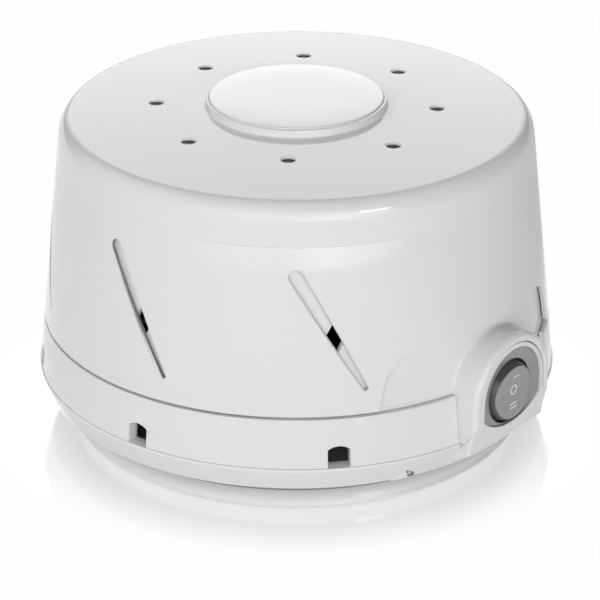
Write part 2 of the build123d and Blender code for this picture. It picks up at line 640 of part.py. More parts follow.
def make_rocker():
    """Three-position rocker: a slice of a ball with a shallow V face and two hinge pins."""
    ball = at_rocker(Sphere(ROCKER_R))
    side = [(-ROCKER_BACK, -ROCKER_R), (-ROCKER_FRONT, -ROCKER_R), (ROCKER_DIP - ROCKER_FRONT, 0)]
    side += [(-ROCKER_FRONT, ROCKER_R), (-ROCKER_BACK, ROCKER_R)]
    outline = make_face(Plane.YZ * Pos(0, SWITCH_Z) * Polyline(*side, close=True))
    slab = extrude(outline, ROCKER_R, both=True)
    pins = at_rocker(Rot(0, 90, 0) * Cylinder(ROCKER_PIN_R, 2 * (BARREL_R - ROCKER_PIN_SHORT)))
    return (ball & slab) + pins


def tab_heights():
    """Heights of the switch's blades, from the lowest up."""
    return [SWITCH_Z + TAB_PITCH * (k - (TAB_COUNT - 1) / 2) for k in range(TAB_COUNT)]


def blade(z):
    """One flat blade at the back of the switch."""
    return block(-TAB_W / 2, TAB_W / 2, -BARREL_BACK, TAB_LONG - BARREL_BACK, z - TAB_T / 2, z + TAB_T / 2)


def make_tabs():
    """Flat blades at the back of the switch."""
    return [blade(z) for z in tab_heights()]


def make_shoes():
    """Push-on sleeves of the two speed leads, on the lowest and the highest blade."""
    shoes = []
    for z in (tab_heights()[0], tab_heights()[-1]):
        half_w = TAB_W / 2 + SHOE_WALL
        half_t = TAB_T / 2 + SHOE_WALL
        shoe = block(-half_w, half_w, -SHOE_FRONT, -SHOE_BACK, z - half_t, z + half_t)
        shoes.append(shoe - blade(z))
    return shoes


# ---- Feet, gland and case screws ----
def make_feet():
    """Rubber feet in their recesses under the tray."""
    feet = []
    for k in range(FOOT_COUNT):
        x, y = on_circle(FOOT_ORBIT, PORT_ANGLE * (2 * k + 1))
        feet.append(rod(FOOT_R, 0, FOOT_THICK, x, y))
    return feet


def make_gland():
    """Gland that holds the flat flex where it enters the base."""
    height = GLAND_TOP - FLOOR_LOW
    outline = Pos(0, FLOOR_LOW + height / 2) * Rectangle(GLAND_W, height)
    long = GLAND_HIGH_R - GLAND_LOW_R
    inner = facing(INLET_TURN).offset(GLAND_LOW_R)
    passage = inner.offset(long - FLEX_STEP) * Pos(0, FLEX_OUT_Z) * SlotOverall(FLEX_W, FLEX_T)
    solid = extrude(inner * outline, long) - extrude(passage, FLEX_STEP)
    return solid - extrude(inner * Pos(0, FLEX_IN_Z) * SlotOverall(FLEX_W, FLEX_T), FLEX_STEP)


def make_case_screws():
    """Screws that hold the housing down on the base."""
    screws = []
    for k in range(POST_COUNT):
        x, y = on_circle(POST_ORBIT, POST_TURN + POST_ANGLE * k)
        head = rod(CASE_HEAD_R, FLOOR_TOP - CASE_HEAD_H, FLOOR_TOP, x, y)
        screws.append(head + rod(CASE_SCREW_R, FLOOR_TOP - EPS, CASE_SCREW_TOP, x, y))
    return screws


def make_pivot_screw():
    """Screw under the badge that holds the cap on the housing's post."""
    top = PIVOT_TOP + PIVOT_FLOAT
    head_low = top + PIVOT_WASHER_T
    head = rod(PIVOT_HEAD_R, head_low, head_low + PIVOT_HEAD_H)
    return rod(PIVOT_SCREW_R, PIVOT_LOW, head_low + EPS) + head


def make_pivot_washer():
    """Washer between the screw's head and the cap."""
    low = PIVOT_TOP + PIVOT_FLOAT
    return rod(PIVOT_WASHER_R, low, low + PIVOT_WASHER_T) - rod(PIVOT_SCREW_R, low, low + PIVOT_WASHER_T)


# ---- Motor ----
def make_core():
    """Laminated core: a C round the coil's leg with the rotor's bore in its pole body."""
    solid = block(CORE_LEFT, CORE_RIGHT, -CORE_HALF, CORE_HALF, STACK_LOW, STACK_HIGH)
    solid -= block(CORE_LEFT + LEG_W, WINDOW_RIGHT, -WINDOW_HALF, WINDOW_HALF, STACK_LOW, STACK_HIGH)
    solid -= rod(BORE_R, STACK_LOW, STACK_HIGH)
    slot = WIRE_RING / 2 + RUN_FIT
    for side in (-1, 1):
        solid -= rod(BOLT_R, STACK_LOW, STACK_HIGH, 0, side * BOLT_Y)
        for x in (RING_IN_X, RING_OUT_X):
            cx, cy = side * x, side * RING_Y
            solid -= block(cx - slot, cx + slot, cy - slot, cy + slot, STACK_LOW, STACK_HIGH)
    return solid


def make_shading_rings():
    """Copper rings round one tip of each pole."""
    rings = []
    half = WIRE_RING / 2
    low = STACK_LOW - WIRE_RING - RUN_FIT
    high = STACK_HIGH + WIRE_RING + RUN_FIT
    for side in (-1, 1):
        x_low, x_high = sorted((side * RING_IN_X, side * RING_OUT_X))
        y = side * RING_Y
        outer = block(x_low - half, x_high + half, y - half, y + half, low, high)
        window = block(x_low + half, x_high - half, y - half, y + half, low + WIRE_RING, high - WIRE_RING)
        rings.append(outer - window)
    return rings


def leg_block(grow, y_half):
    """Box round the coil's leg, larger than it by grow on all four sides."""
    return block(
        CORE_LEFT - grow, CORE_LEFT + LEG_W + grow, -y_half, y_half, STACK_LOW - grow, STACK_HIGH + grow
    )


def make_bobbin():
    """Bobbin on the core's leg: a square tube between two flanges."""
    tube = leg_block(BOBBIN_GAP + BOBBIN_WALL, BOBBIN_HALF)
    full = leg_block(COIL_GROW, BOBBIN_HALF)
    flanges = full - leg_block(2 * CORE_HALF, BOBBIN_HALF - BOBBIN_WALL)
    return tube + flanges - leg_block(BOBBIN_GAP, BOBBIN_HALF)


def make_coil():
    """Winding between the bobbin's flanges."""
    y_half = BOBBIN_HALF - BOBBIN_WALL
    outer = leg_block(COIL_GROW - SIDE_GAP, y_half)
    outer = fillet(outer.edges().filter_by(Axis.Y), COIL_T / 2)
    return outer - leg_block(BOBBIN_GAP + BOBBIN_WALL, y_half)


def bridge(side):
    """Sheet bridge over the rotor, above the stack for side 1 and below it for side -1."""
    face = STACK_HIGH if side > 0 else STACK_LOW
    far = face + side * BRACKET_DEEP
    low, high = sorted((face, far))
    hat = block(-BRACKET_HALF_W, BRACKET_HALF_W, -BRACKET_SPAN, BRACKET_SPAN, low, high)
    inner_low, inner_high = sorted((face, far - side * SHEET))
    span_in = BRACKET_SPAN - SHEET
    hat -= block(-BRACKET_HALF_W, BRACKET_HALF_W, -span_in, span_in, inner_low, inner_high)
    cup_low, cup_high = sorted((far, far - side * BEARING_LONG))
    return hat + rod(BEARING_CUP_R, cup_low, cup_high) - rod(BEARING_R, cup_low, cup_high)


def foot_plate(side, half_y):
    """Flat feet of a bracket, against the stack."""
    face = STACK_HIGH if side > 0 else STACK_LOW
    low, high = sorted((face, face + side * SHEET))
    plate = block(-BRACKET_HALF_W, BRACKET_HALF_W, -half_y, half_y, low, high)
    span_in = BRACKET_SPAN - SHEET
    plate -= block(-BRACKET_HALF_W, BRACKET_HALF_W, -span_in, span_in, low, high)
    for at in (-BOLT_Y, BOLT_Y):
        plate -= rod(BOLT_R, low, high, 0, at)
    return plate


def ring_room(shape):
    """Bracket with room for the shading rings' ends."""
    slot = WIRE_RING / 2 + SIDE_GAP
    low = STACK_LOW - WIRE_RING - SIDE_GAP
    high = STACK_HIGH + WIRE_RING + SIDE_GAP
    for side in (-1, 1):
        y = side * RING_Y
        x_low, x_high = sorted((side * (RING_IN_X - slot), side * (RING_OUT_X + slot)))
        shape -= block(x_low, x_high, y - slot, y + slot, low, high)
    return shape


def make_upper_bracket():
    """Upper bracket: bridge over the rotor with the upper bearing's cup."""
    return ring_room(bridge(1) + foot_plate(1, CORE_HALF))


def make_lower_bracket():
    """Lower bracket: bridge under the rotor, with four ears on the rubber mounts."""
    solid = bridge(-1) + foot_plate(-1, MOUNT_Y + MOUNT_PAD)
    x_half = MOUNT_X + MOUNT_PAD
    low = STACK_LOW - SHEET
    for side in (-1, 1):
        y_low, y_high = sorted((side * (MOUNT_Y - MOUNT_PAD), side * (MOUNT_Y + MOUNT_PAD)))
        solid += block(-x_half, x_half, y_low, y_high, low, STACK_LOW)
    for x in (-MOUNT_X, MOUNT_X):
        for y in (-MOUNT_Y, MOUNT_Y):
            solid -= rod(GROMMET_NECK_R, low, STACK_LOW, x, y)
    return ring_room(solid)


def make_bearing(side):
    """Sintered bush in a bracket's cup."""
    face = STACK_HIGH if side > 0 else STACK_LOW
    far = face + side * BRACKET_DEEP
    low, high = sorted((far, far - side * BEARING_LONG))
    return rod(BEARING_R, low, high) - rod(SHAFT_R + RUN_FIT, low, high)


def make_motor_bolts():
    """Bolts through both brackets and the stack, with their nuts."""
    bolts = []
    for side in (-1, 1):
        y = side * BOLT_Y
        top = STACK_HIGH + SHEET
        low = STACK_LOW - SHEET
        hexagon = Pos(0, y) * RegularPolygon(BOLT_HEAD_R, 6)
        nut = extrude(Plane.XY.offset(low - BOLT_HEAD_H) * hexagon, BOLT_HEAD_H)
        shank = rod(BOLT_R, low - BOLT_HEAD_H - BOLT_END, top + EPS, 0, y)
        bolts.append(nut + shank + rod(BOLT_HEAD_R, top, top + BOLT_HEAD_H, 0, y))
    return bolts


def at_mounts(shape):
    """Copies of a shape at the four motor mounts."""
    return [Pos(x, y, 0) * shape for x in (-MOUNT_X, MOUNT_X) for y in (-MOUNT_Y, MOUNT_Y)]


def make_grommets():
    """Rubber grommets that the motor hangs on."""
    solid = rod(GROMMET_R, GROMMET_LOW, STACK_LOW - SHEET) + rod(GROMMET_R, STACK_LOW, GROMMET_TOP)
    solid += rod(GROMMET_NECK_R, GROMMET_LOW, GROMMET_TOP)
    return at_mounts(solid - rod(MOUNT_SCREW_R, GROMMET_LOW, GROMMET_TOP))


def make_mount_screws():
    """Screws with washers that hold the grommets on the base's posts."""
    top = GROMMET_TOP + WASHER_T
    screw = rod(MOUNT_SCREW_R, MOUNT_SCREW_LOW, top + EPS)
    screw += rod(WASHER_R, GROMMET_TOP, top) + rod(MOUNT_HEAD_R, top, top + MOUNT_HEAD_H)
    return at_mounts(screw)


# ---- Rotor and fan ----
def make_shaft():
    """Shaft through both bearings and the fan."""
    return rod(SHAFT_R, SHAFT_LOW, SHAFT_HIGH)


def make_rotor():
    """Squirrel-cage rotor with its end rings."""
    solid = rod(BORE_R - AIR_GAP, STACK_LOW, STACK_HIGH)
    solid += rod(END_RING_R, STACK_LOW - END_RING_T, STACK_HIGH + END_RING_T)
    return solid - rod(SHAFT_R, STACK_LOW - END_RING_T, STACK_HIGH + END_RING_T)


def make_thrust_washers():
    """Washers on the shaft between the rotor and each bearing."""
    washers = []
    reach = BRACKET_DEEP - BEARING_LONG - END_RING_T - RUN_FIT
    for low in (STACK_HIGH + END_RING_T, STACK_LOW - END_RING_T - reach):
        washers.append(rod(THRUST_R, low, low + reach) - rod(SHAFT_R, low, low + reach))
    return washers


def blade_angles():
    """Directions of the blades: an uneven pitch, so that no single note stands out."""
    step = 360 / BLADE_COUNT
    return [step * k + BLADE_STRAY_ANGLE * sin(radians(3 * step * k)) for k in range(BLADE_COUNT)]


def make_fan():
    """Fan wheel: disc, hub and leaning blades at an uneven pitch."""
    low = FAN_LOW
    solid = rod(FAN_R, low, low + FAN_DISC_T) + rod(HUB_R, low, low + HUB_H)
    half = (FAN_R - BLADE_IN_R) / 2
    vane = block(-half, half, -BLADE_T / 2, BLADE_T / 2, low, low + BLADE_H)
    vane = Pos(BLADE_IN_R + half, 0, 0) * Rot(0, 0, BLADE_ANGLE) * vane
    for angle in blade_angles():
        solid += (Rot(0, 0, angle) * vane) & rod(FAN_R, low, low + BLADE_H)
    return solid - rod(SHAFT_R, low, low + HUB_H)


def make_fan_clip():
    """Retaining ring on the shaft over the fan's hub."""
    low = FAN_LOW + HUB_H
    return rod(CLIP_R, low, low + CLIP_T) - rod(SHAFT_R, low, low + CLIP_T)


# ---- Leads ----
def make_leads():
    """Leads from the switch's two speed blades to the coil, one under the core and one over it."""
    low_z = tab_heights()[0]
    high_z = tab_heights()[-1]
    turn_y = LEAD_OUT - SHOE_BACK
    coil_x = CORE_LEFT + LEG_W / 2
    slow = lead(
        (0, -SHOE_BACK, low_z),
        (0, turn_y, low_z),
        (-10, turn_y, 16),
        (-22, -42, 15),
        (-31, -34, 15.5),
        (coil_x, -24, UNDER_COIL_Z),
        (coil_x, -BOBBIN_HALF, UNDER_COIL_Z),
    )
    fast = lead(
        (0, -SHOE_BACK, high_z),
        (0, turn_y, high_z),
        (-8, -40, 37),
        (-19, -32, 40),
        (coil_x, -24, OVER_COIL_Z),
        (coil_x, -BOBBIN_HALF, OVER_COIL_Z),
    )
    return [slow, fast]


def write(name, shape):
    """Writes one node, whose solids may be one or several."""
    solids = shape if isinstance(shape, list) else [shape]
    found = [s for piece in solids for s in piece.solids()]
    node = found[0] if len(found) == 1 else Compound(children=found)
    export_step(node, f"parts/{name}.step")


PIECES = {
    "base": make_base,
    "acoustic_housing": make_housing,
    "cap": make_cap,
    "badge_disc": make_badge,
    "collar": make_collar,
    "switch_bezel": make_bezel,
    "switch_body": make_switch_body,
    "rocker": make_rocker,
    "switch_tabs": make_tabs,
    "push_on_shoes": make_shoes,
    "feet": make_feet,
    "flex_gland": make_gland,
    "case_screws": make_case_screws,
    "cap_pivot_screw": make_pivot_screw,
    "cap_pivot_washer": make_pivot_washer,
    "stator_core": make_core,
    "shading_rings": make_shading_rings,
    "coil_bobbin": make_bobbin,
    "coil_winding": make_coil,
    "upper_bracket": make_upper_bracket,
    "lower_bracket": make_lower_bracket,
    "upper_bearing": lambda: make_bearing(1),
    "lower_bearing": lambda: make_bearing(-1),
    "motor_bolts": make_motor_bolts,
    "motor_grommets": make_grommets,
    "mount_screws": make_mount_screws,
    "motor_shaft": make_shaft,
    "rotor": make_rotor,
    "thrust_washers": make_thrust_washers,
    "fan_wheel": make_fan,
    "fan_clip": make_fan_clip,
    "motor_leads": make_leads,
}

os.makedirs("parts", exist_ok=True)
for piece_name, make in PIECES.items():
    write(piece_name, make())
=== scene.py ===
# %% [markdown]
# # A bedside sound machine in Blender
# The machine is a round white bell on a low base. A fan turns inside an inner housing, and the cap and the
# collar are turned by hand to open and close its ports. Nearly everything that can be seen from outside is
# made here with fine meshes and soft edges. The flex gland and the inner works come from the construction
# model and only get their finishes.

# %% Load the construction model
from math import asin, atan2, cos, degrees, pi, radians, sin, sqrt, tan

import bmesh
import bpy
from mathutils import Matrix, Vector, geometry
from mathutils.bvhtree import BVHTree
from mathutils.interpolate import poly_3d_calc


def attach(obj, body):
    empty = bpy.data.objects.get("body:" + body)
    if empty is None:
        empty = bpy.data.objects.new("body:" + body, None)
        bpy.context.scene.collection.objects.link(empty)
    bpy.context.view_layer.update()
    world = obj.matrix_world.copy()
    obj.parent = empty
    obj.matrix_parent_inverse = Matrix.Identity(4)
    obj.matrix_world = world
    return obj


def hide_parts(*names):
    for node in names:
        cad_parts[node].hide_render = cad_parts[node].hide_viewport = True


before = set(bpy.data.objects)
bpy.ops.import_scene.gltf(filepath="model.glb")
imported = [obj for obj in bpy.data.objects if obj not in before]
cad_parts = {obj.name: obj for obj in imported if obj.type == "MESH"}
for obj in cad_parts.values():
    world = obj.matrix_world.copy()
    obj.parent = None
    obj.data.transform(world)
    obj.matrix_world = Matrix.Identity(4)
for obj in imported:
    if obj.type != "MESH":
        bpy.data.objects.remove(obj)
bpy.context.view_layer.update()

# %% [markdown]
# ## Sizes
# Blender works in metres, so each size is written in millimetres and multiplied by MM. Heights count from
# the table, radii from the upright axis. Angles round the body start at the switch, which faces -Y, and
# grow towards +X.

# %% Sizes of the body
MM = 0.001
TAPER = radians(6.06)
BODY_R = 72.65 * MM
COLLAR_LOW = 16.8 * MM
COLLAR_HIGH = 30.4 * MM
CAP_LOW = 31.2 * MM
CORNER_Z = 89.1 * MM
CROWN_RISE = 2.5 * MM
SHOULDER_R = 6.0 * MM
CAP_WALL = 1.3 * MM
CAP_GAP = 0.4 * MM
HOUSING_WALL = 1.6 * MM
COLLAR_WALL = 1.5 * MM
COLLAR_GAP = 0.4 * MM
BASE_WALL = 1.8 * MM
SEAM = 0.15 * MM
SIDE_GAP = 0.3 * MM
CROWN_Z = CORNER_Z + CROWN_RISE
HOUSING_INSET = CAP_WALL + CAP_GAP
HOUSING_IN = HOUSING_INSET + HOUSING_WALL
WALL_INSET = COLLAR_WALL + COLLAR_GAP
WALL_IN = WALL_INSET + BASE_WALL
EDGE = 0.25 * MM        # soft rounding of the mouldings' edges
TOUCH = 1e-7            # points nearer than this are one


def wall_r(z, inset=0.0):
    """Radius of the leaning side wall at a height, inset towards the axis."""
    return BODY_R - (z - COLLAR_LOW) * tan(TAPER) - inset / cos(TAPER)


def on_circle(orbit, angle):
    """Point at a distance from the axis, at an angle round the body."""
    return orbit * sin(angle), -orbit * cos(angle)


print("cap's radius at its lower edge", round(wall_r(CAP_LOW) / MM, 2), "mm")

# %% [markdown]
# ## Turning a half section
# Round mouldings are drawn as a half section in the X-Z plane, as a drawing of a lathe part would show
# them. The corners are rounded with a vertex bevel while the section is still flat, which is quick and
# gives clean arcs. Spin then turns its edges about the upright axis.

# %% Half sections
SPIN_STEPS = 256
LARGE_ROUND_STEPS = 8
SMALL_ROUND_STEPS = 4
CROWN_POINTS = 12
BEVEL = {"offset_type": "OFFSET", "profile": 0.5, "material": -1}


def round_corner(bm, vert, radius, steps):
    """Rounds one corner of a flat outline."""
    first, second = [edge.other_vert(vert).co - vert.co for edge in vert.link_edges]
    reach = radius / tan(first.angle(second) / 2)
    bmesh.ops.bevel(bm, geom=[vert], offset=reach, segments=steps, affect="VERTICES", **BEVEL)


def half_section(corners):
    """Flat face from (radius, height) corners, where a third value is a corner's rounding."""
    bm = bmesh.new()
    verts = [bm.verts.new((corner[0], 0, corner[1])) for corner in corners]
    bm.faces.new(verts)
    for vert, corner in zip(verts, corners):
        if len(corner) > 2:
            round_corner(bm, vert, corner[2], LARGE_ROUND_STEPS if corner[2] > MM else SMALL_ROUND_STEPS)
    return bm


def spin_section(bm, steps=SPIN_STEPS):
    """Turns a flat section's edges once round the upright axis and closes the seam and the poles."""
    bmesh.ops.delete(bm, geom=bm.faces[:], context="FACES_ONLY")
    on_axis = [e for e in bm.edges if all(abs(v.co.x) < TOUCH for v in e.verts)]
    bmesh.ops.delete(bm, geom=on_axis, context="EDGES")
    section = bm.verts[:] + bm.edges[:]
    bmesh.ops.spin(
        bm, geom=section, cent=(0, 0, 0), axis=(0, 0, 1), angle=2 * pi, steps=steps, use_merge=True,
    )
    bmesh.ops.remove_doubles(bm, verts=bm.verts[:], dist=TOUCH)
    bmesh.ops.recalc_face_normals(bm, faces=bm.faces[:])
    return bm


def crown_z(inset, radius):
    """Height of the domed top at a radius."""
    edge_r = wall_r(CORNER_Z - inset, inset)
    ball = (edge_r ** 2 + CROWN_RISE ** 2) / (2 * CROWN_RISE)
    return CROWN_Z - inset - ball + sqrt(ball ** 2 - radius ** 2)


def crown_to_shoulder(inset, from_r):
    """Points of the domed top from a radius out to its corner with the side wall, which is rounded."""
    corner_r = wall_r(CORNER_Z - inset, inset)
    radii = [from_r + (corner_r - from_r) * k / (CROWN_POINTS - 1) for k in range(CROWN_POINTS)]
    points = [(radius, crown_z(inset, radius)) for radius in radii]
    return points[:-1] + [points[-1] + (max(SHOULDER_R - inset, MM),)]


# %% [markdown]
# ## Cutting openings with soft lips
# A port that is cut through a glossy wall catches light on its edge. A plain boolean leaves that edge knife
# sharp, so each cutter is a little wider where it passes the surface: several rings, bridged into one
# solid, follow the curved wall and leave a rounded lip.

# %% Objects and booleans
# Rows of a lip: how deep behind the surface, and how much wider, as shares of the lip's size.
LIP = ((-1.0, 1.0), (0.0, 1.0), (0.12, 0.55), (0.4, 0.2), (1.0, 0.0))
CUTTER_FRONT = BODY_R + 4 * MM
PORT_REACH = BODY_R - 12 * MM


def new_piece(bm, name):
    """Object from a bmesh, at the origin."""
    mesh = bpy.data.meshes.new(name)
    bm.to_mesh(mesh)
    bm.free()
    piece = bpy.data.objects.new(name, mesh)
    bpy.context.scene.collection.objects.link(piece)
    return piece


def join(cutters):
    """One bmesh out of several."""
    whole = bmesh.new()
    for bm in cutters:
        part = bpy.data.meshes.new("cutter")
        bm.to_mesh(part)
        bm.free()
        whole.from_mesh(part)
        bpy.data.meshes.remove(part)
    return whole


def carve(piece, bm, operation="DIFFERENCE"):
    """Cuts a shape out of a piece, or joins it on, and keeps the result as a plain mesh."""
    other = new_piece(bm, "tool")
    modifier = piece.modifiers.new("carve", "BOOLEAN")
    modifier.operation = operation
    modifier.solver = "EXACT"
    modifier.object = other
    keep_result(piece)
    bpy.data.objects.remove(other)


def keep_result(piece):
    """Replaces a piece's mesh by what its modifiers make of it."""
    seen = piece.evaluated_get(bpy.context.evaluated_depsgraph_get())
    mesh = bpy.data.meshes.new_from_object(seen)
    piece.modifiers.clear()
    piece.data = mesh


def edge_loops(bm, rings):
    """Closed loops of edges through rings of points."""
    loops = []
    for ring in rings:
        verts = [bm.verts.new(point) for point in ring]
        loops.append([bm.edges.new((verts[i - 1], verts[i])) for i in range(len(verts))])
    return loops


def loft(rings):
    """Closed solid through several rings of equally many points."""
    bm = bmesh.new()
    loops = edge_loops(bm, rings)
    for near, far in zip(loops, loops[1:]):
        bmesh.ops.bridge_loops(bm, edges=near + far)
    bmesh.ops.contextual_create(bm, geom=loops[0])
    bmesh.ops.contextual_create(bm, geom=loops[-1])
    bmesh.ops.recalc_face_normals(bm, faces=bm.faces[:])
    return bm


def flat_on(angle, across, z, out):
    """Point on a flat plane in front of the axis, seen straight on from an angle round the body."""
    return out * sin(angle) + across * cos(angle), across * sin(angle) - out * cos(angle), z


def on_wall(angle, across, z, inset):
    """Point behind the side wall's surface, seen straight on from an angle round the body."""
    return flat_on(angle, across, z, sqrt(wall_r(z, inset) ** 2 - across ** 2))


def wall_cutter(outline, angle, inset, reach, lip=EDGE):
    """Cutter through the side wall. outline(grow) gives (across, height) points, reach is where it ends."""
    rings = [[flat_on(angle, u, z, CUTTER_FRONT) for u, z in outline(lip)]]
    for deep, grow in LIP:
        rings.append([on_wall(angle, u, z, inset + deep * lip) for u, z in outline(grow * lip)])
    rings.append([flat_on(angle, u, z, reach) for u, z in outline(0)])
    return loft(rings)


# %% Smooth shading that follows the uncut surface
SHARP = radians(32)
NEAR = 0.02 * MM
SAME_WAY = cos(radians(10))


def shade(piece, uncut=None):
    """Smooth shading with sharp edges by angle. Faces that lie on the uncut shape borrow its normals."""
    mesh = piece.data
    mesh.polygons.foreach_set("use_smooth", [True] * len(mesh.polygons))
    mesh.set_sharp_from_angle(angle=SHARP)
    if uncut is None:
        return
    normals = [n.vector.copy() for n in mesh.corner_normals]
    source = uncut.data
    shade(uncut)
    corners = [n.vector.copy() for n in source.corner_normals]
    points = [v.co for v in source.vertices]
    tree = BVHTree.FromPolygons(points, [p.vertices[:] for p in source.polygons])
    for face in mesh.polygons:
        _, normal, found, distance = tree.find_nearest(face.center)
        if distance > NEAR or normal.dot(face.normal) < SAME_WAY:
            continue
        donor = source.polygons[found]
        shape = [points[i] for i in donor.vertices]
        for loop, vert in zip(face.loop_indices, face.vertices):
            at = tree.find_nearest(mesh.vertices[vert].co)
            local = donor
            local_shape = shape
            if at[2] != found and at[1].dot(normal) > SAME_WAY:
                local = source.polygons[at[2]]
                local_shape = [points[i] for i in local.vertices]
            weights = poly_3d_calc(local_shape, at[0])
            mixed = Vector()
            for weight, corner in zip(weights, local.loop_indices):
                mixed += corners[corner] * weight
            normals[loop] = mixed.normalized()
    mesh.normals_split_custom_set(normals)


def dispose(piece):
    """Removes a helper object."""
    bpy.data.objects.remove(piece)


# %% [markdown]
# ## The ports
# Two rows of ports go round the body at a pitch of an eighth of a turn, and the one at the switch is left
# out. The cap's slots are teardrops that lean one way. The inner housing's slots lean the other way, so
# that only a small dark diamond is open where they cross, and it wanders along the slot as the cap turns.

# %% Outlines of the ports
PORT_COUNT = 8
PORT_ANGLE = radians(45)
PORT_TURN = radians(-41.5)
NO_PORT_WITHIN = radians(15)    # of the switch
CAP_REST_TURN = radians(-1.5)
SLOT_TOP_Z = 69.6 * MM
SLOT_LOW_Z = 38.25 * MM
SLOT_TOP_R = 2.0 * MM
SLOT_LOW_R = 0.7 * MM
SLOT_LIP = 0.3 * MM
SLOT_TOP_POINTS = 24
SLOT_LOW_POINTS = 16
SLOT_SPREAD = radians(14.95)
HOUSING_SLOT_R = 2.3 * MM
HOUSING_SHIFT = radians(0.8)
HOUSING_VENT_R = 3.0 * MM
NOTCH_W = 5.95 * MM
NOTCH_SIDE = 5.1 * MM
NOTCH_RISE = 1.0 * MM
NOTCH_POINTS = 12
LEDGE_Z = 16.6 * MM
LEDGE_SKIM = 0.02 * MM
VENT_ORBIT = 38.6 * MM
VENT_R = 2.0 * MM
VENT_TURN = radians(-7.1)
VENT_STEPS = 48
VENT_SKIM = 0.08 * MM


def port_angles():
    """Directions of the ports, without the one at the switch."""
    angles = [PORT_TURN + PORT_ANGLE * k for k in range(PORT_COUNT)]
    return [a for a in angles if cos(a) < cos(NO_PORT_WITHIN)]


def arc(centre, radius, start, end, count):
    """Points of an arc, ends included."""
    turns = [start + (end - start) * k / (count - 1) for k in range(count)]
    return [(centre[0] + radius * cos(t), centre[1] + radius * sin(t)) for t in turns]


def circle(centre, radius, count):
    """Points of a full circle."""
    return arc(centre, radius, 0, 2 * pi * (count - 1) / count, count)


def teardrop(lean, top_r, low_r):
    """Outline of a leaning slot, as a function of how much it grows."""
    half = SLOT_SPREAD / 2
    top = Vector((-lean * wall_r(SLOT_TOP_Z) * sin(half), SLOT_TOP_Z))
    low = Vector((lean * wall_r(SLOT_LOW_Z) * sin(half), SLOT_LOW_Z))
    along = top - low
    aim = atan2(along.y, along.x)
    open_by = pi / 2 + asin((top_r - low_r) / along.length)

    def outline(grow):
        upper = arc(top, top_r + grow, aim - open_by, aim + open_by, SLOT_TOP_POINTS)
        return upper + arc(low, low_r + grow, aim + open_by, aim + 2 * pi - open_by, SLOT_LOW_POINTS)

    return outline


def mouse_hole(grow, low=LEDGE_Z - MM):
    """Outline of a port at the collar's lower edge: straight sides under a flat arch."""
    half = NOTCH_W / 2 + grow
    side = LEDGE_Z + NOTCH_SIDE
    rise = NOTCH_RISE + grow
    ball = (half ** 2 + rise ** 2) / (2 * rise)
    open_by = asin(half / ball)
    top = arc((0, side + rise - ball), ball, pi / 2 - open_by, pi / 2 + open_by, NOTCH_POINTS)
    return [(-half, low), (half, low)] + top


def wall_hole(grow):
    """The same port in the base's upright wall, which leaves the ledge whole."""
    return mouse_hole(grow, LEDGE_Z + LEDGE_SKIM)


def vent_cutters(turn, radius, inset, thick):
    """Cutters of the round holes in the top, with soft lips."""
    surface = crown_z(inset, VENT_ORBIT)
    wide = radius + EDGE
    low = surface - thick - MM
    middle = 0.35 * EDGE
    cutters = []
    for k in range(PORT_COUNT):
        x, y = on_circle(VENT_ORBIT, turn + PORT_ANGLE * k)
        bm = half_section([
            (0, surface + MM), (wide, surface + MM), (wide, surface + VENT_SKIM),
            (radius + middle, surface - middle), (radius, surface - EDGE), (radius, low), (0, low),
        ])
        spin_section(bm, VENT_STEPS)
        bmesh.ops.translate(bm, verts=bm.verts[:], vec=(x, y, 0))
        cutters.append(bm)
    return cutters


print("ports at", [round(degrees(a), 1) for a in port_angles()])

# %% [markdown]
# ## The cap
# The cap is the large white bell that the hand turns. Its half section holds the domed top, the soft
# shoulder, the leaning wall with its fine mould line, and the raised seat for the badge. The slots, the top
# holes and the cut-out for the hood are then carved out of the turned shell. Booleans are quicker here than
# building the wall round each opening, and the borrowed normals hide their uneven faces.

# %% Sizes of the cap
MOULD_LINE_Z = 77.6 * MM
MOULD_LINE = 0.12 * MM
CAP_LOWER_ROUND = 0.15 * MM
BADGE_R = 24.0 * MM
BADGE_SEAT_R = 25.0 * MM
BADGE_SEAT_Z = CROWN_Z + 1.7 * MM
BADGE_RECESS = 0.6 * MM
BADGE_RIM = 0.35 * MM
BADGE_DOME = 0.7 * MM
BADGE_FALL = 4.5
SEAT_INNER_ROUND = 0.15 * MM
SEAT_OUTER_ROUND = 0.3 * MM
SEAT_FOOT_ROUND = 0.4 * MM
CROWN_FROM = BADGE_SEAT_R + 3 * MM
PIVOT_POST_R = 5.0 * MM
PIVOT_TOP = CROWN_Z - CAP_WALL + 0.9 * MM
PIVOT_WELL_R = 8.3 * MM
PIVOT_LOW = CROWN_Z - HOUSING_IN - 4.0 * MM
PIVOT_SCREW_R = 1.5 * MM
RUN_FIT = 0.05 * MM
GATE_HALF_W = 36.5 * MM
GATE_TOP_HALF_W = 33.2 * MM
GATE_TOP = CAP_LOW + 14.8 * MM
GATE_CORNER_R = 11.0 * MM
GATE_BELOW = 2.0 * MM
GATE_POINTS = 14
GATE_LIP = 0.4 * MM


def gate(grow):
    """Outline of the cap's cut-out for the hood, open below."""
    high = GATE_TOP - CAP_LOW
    spare = GATE_HALF_W - GATE_TOP_HALF_W
    lean = atan2(high, spare)
    reach = GATE_CORNER_R / tan((pi - lean) / 2)
    centre = (GATE_TOP_HALF_W - reach, GATE_TOP - GATE_CORNER_R)
    foot = GATE_HALF_W + grow + spare * GATE_BELOW / high
    low = CAP_LOW - GATE_BELOW
    corner = arc(centre, GATE_CORNER_R + grow, pi / 2 - lean, pi / 2, GATE_POINTS)
    return [(-foot, low), (foot, low)] + corner + [(-u, z) for u, z in reversed(corner)]


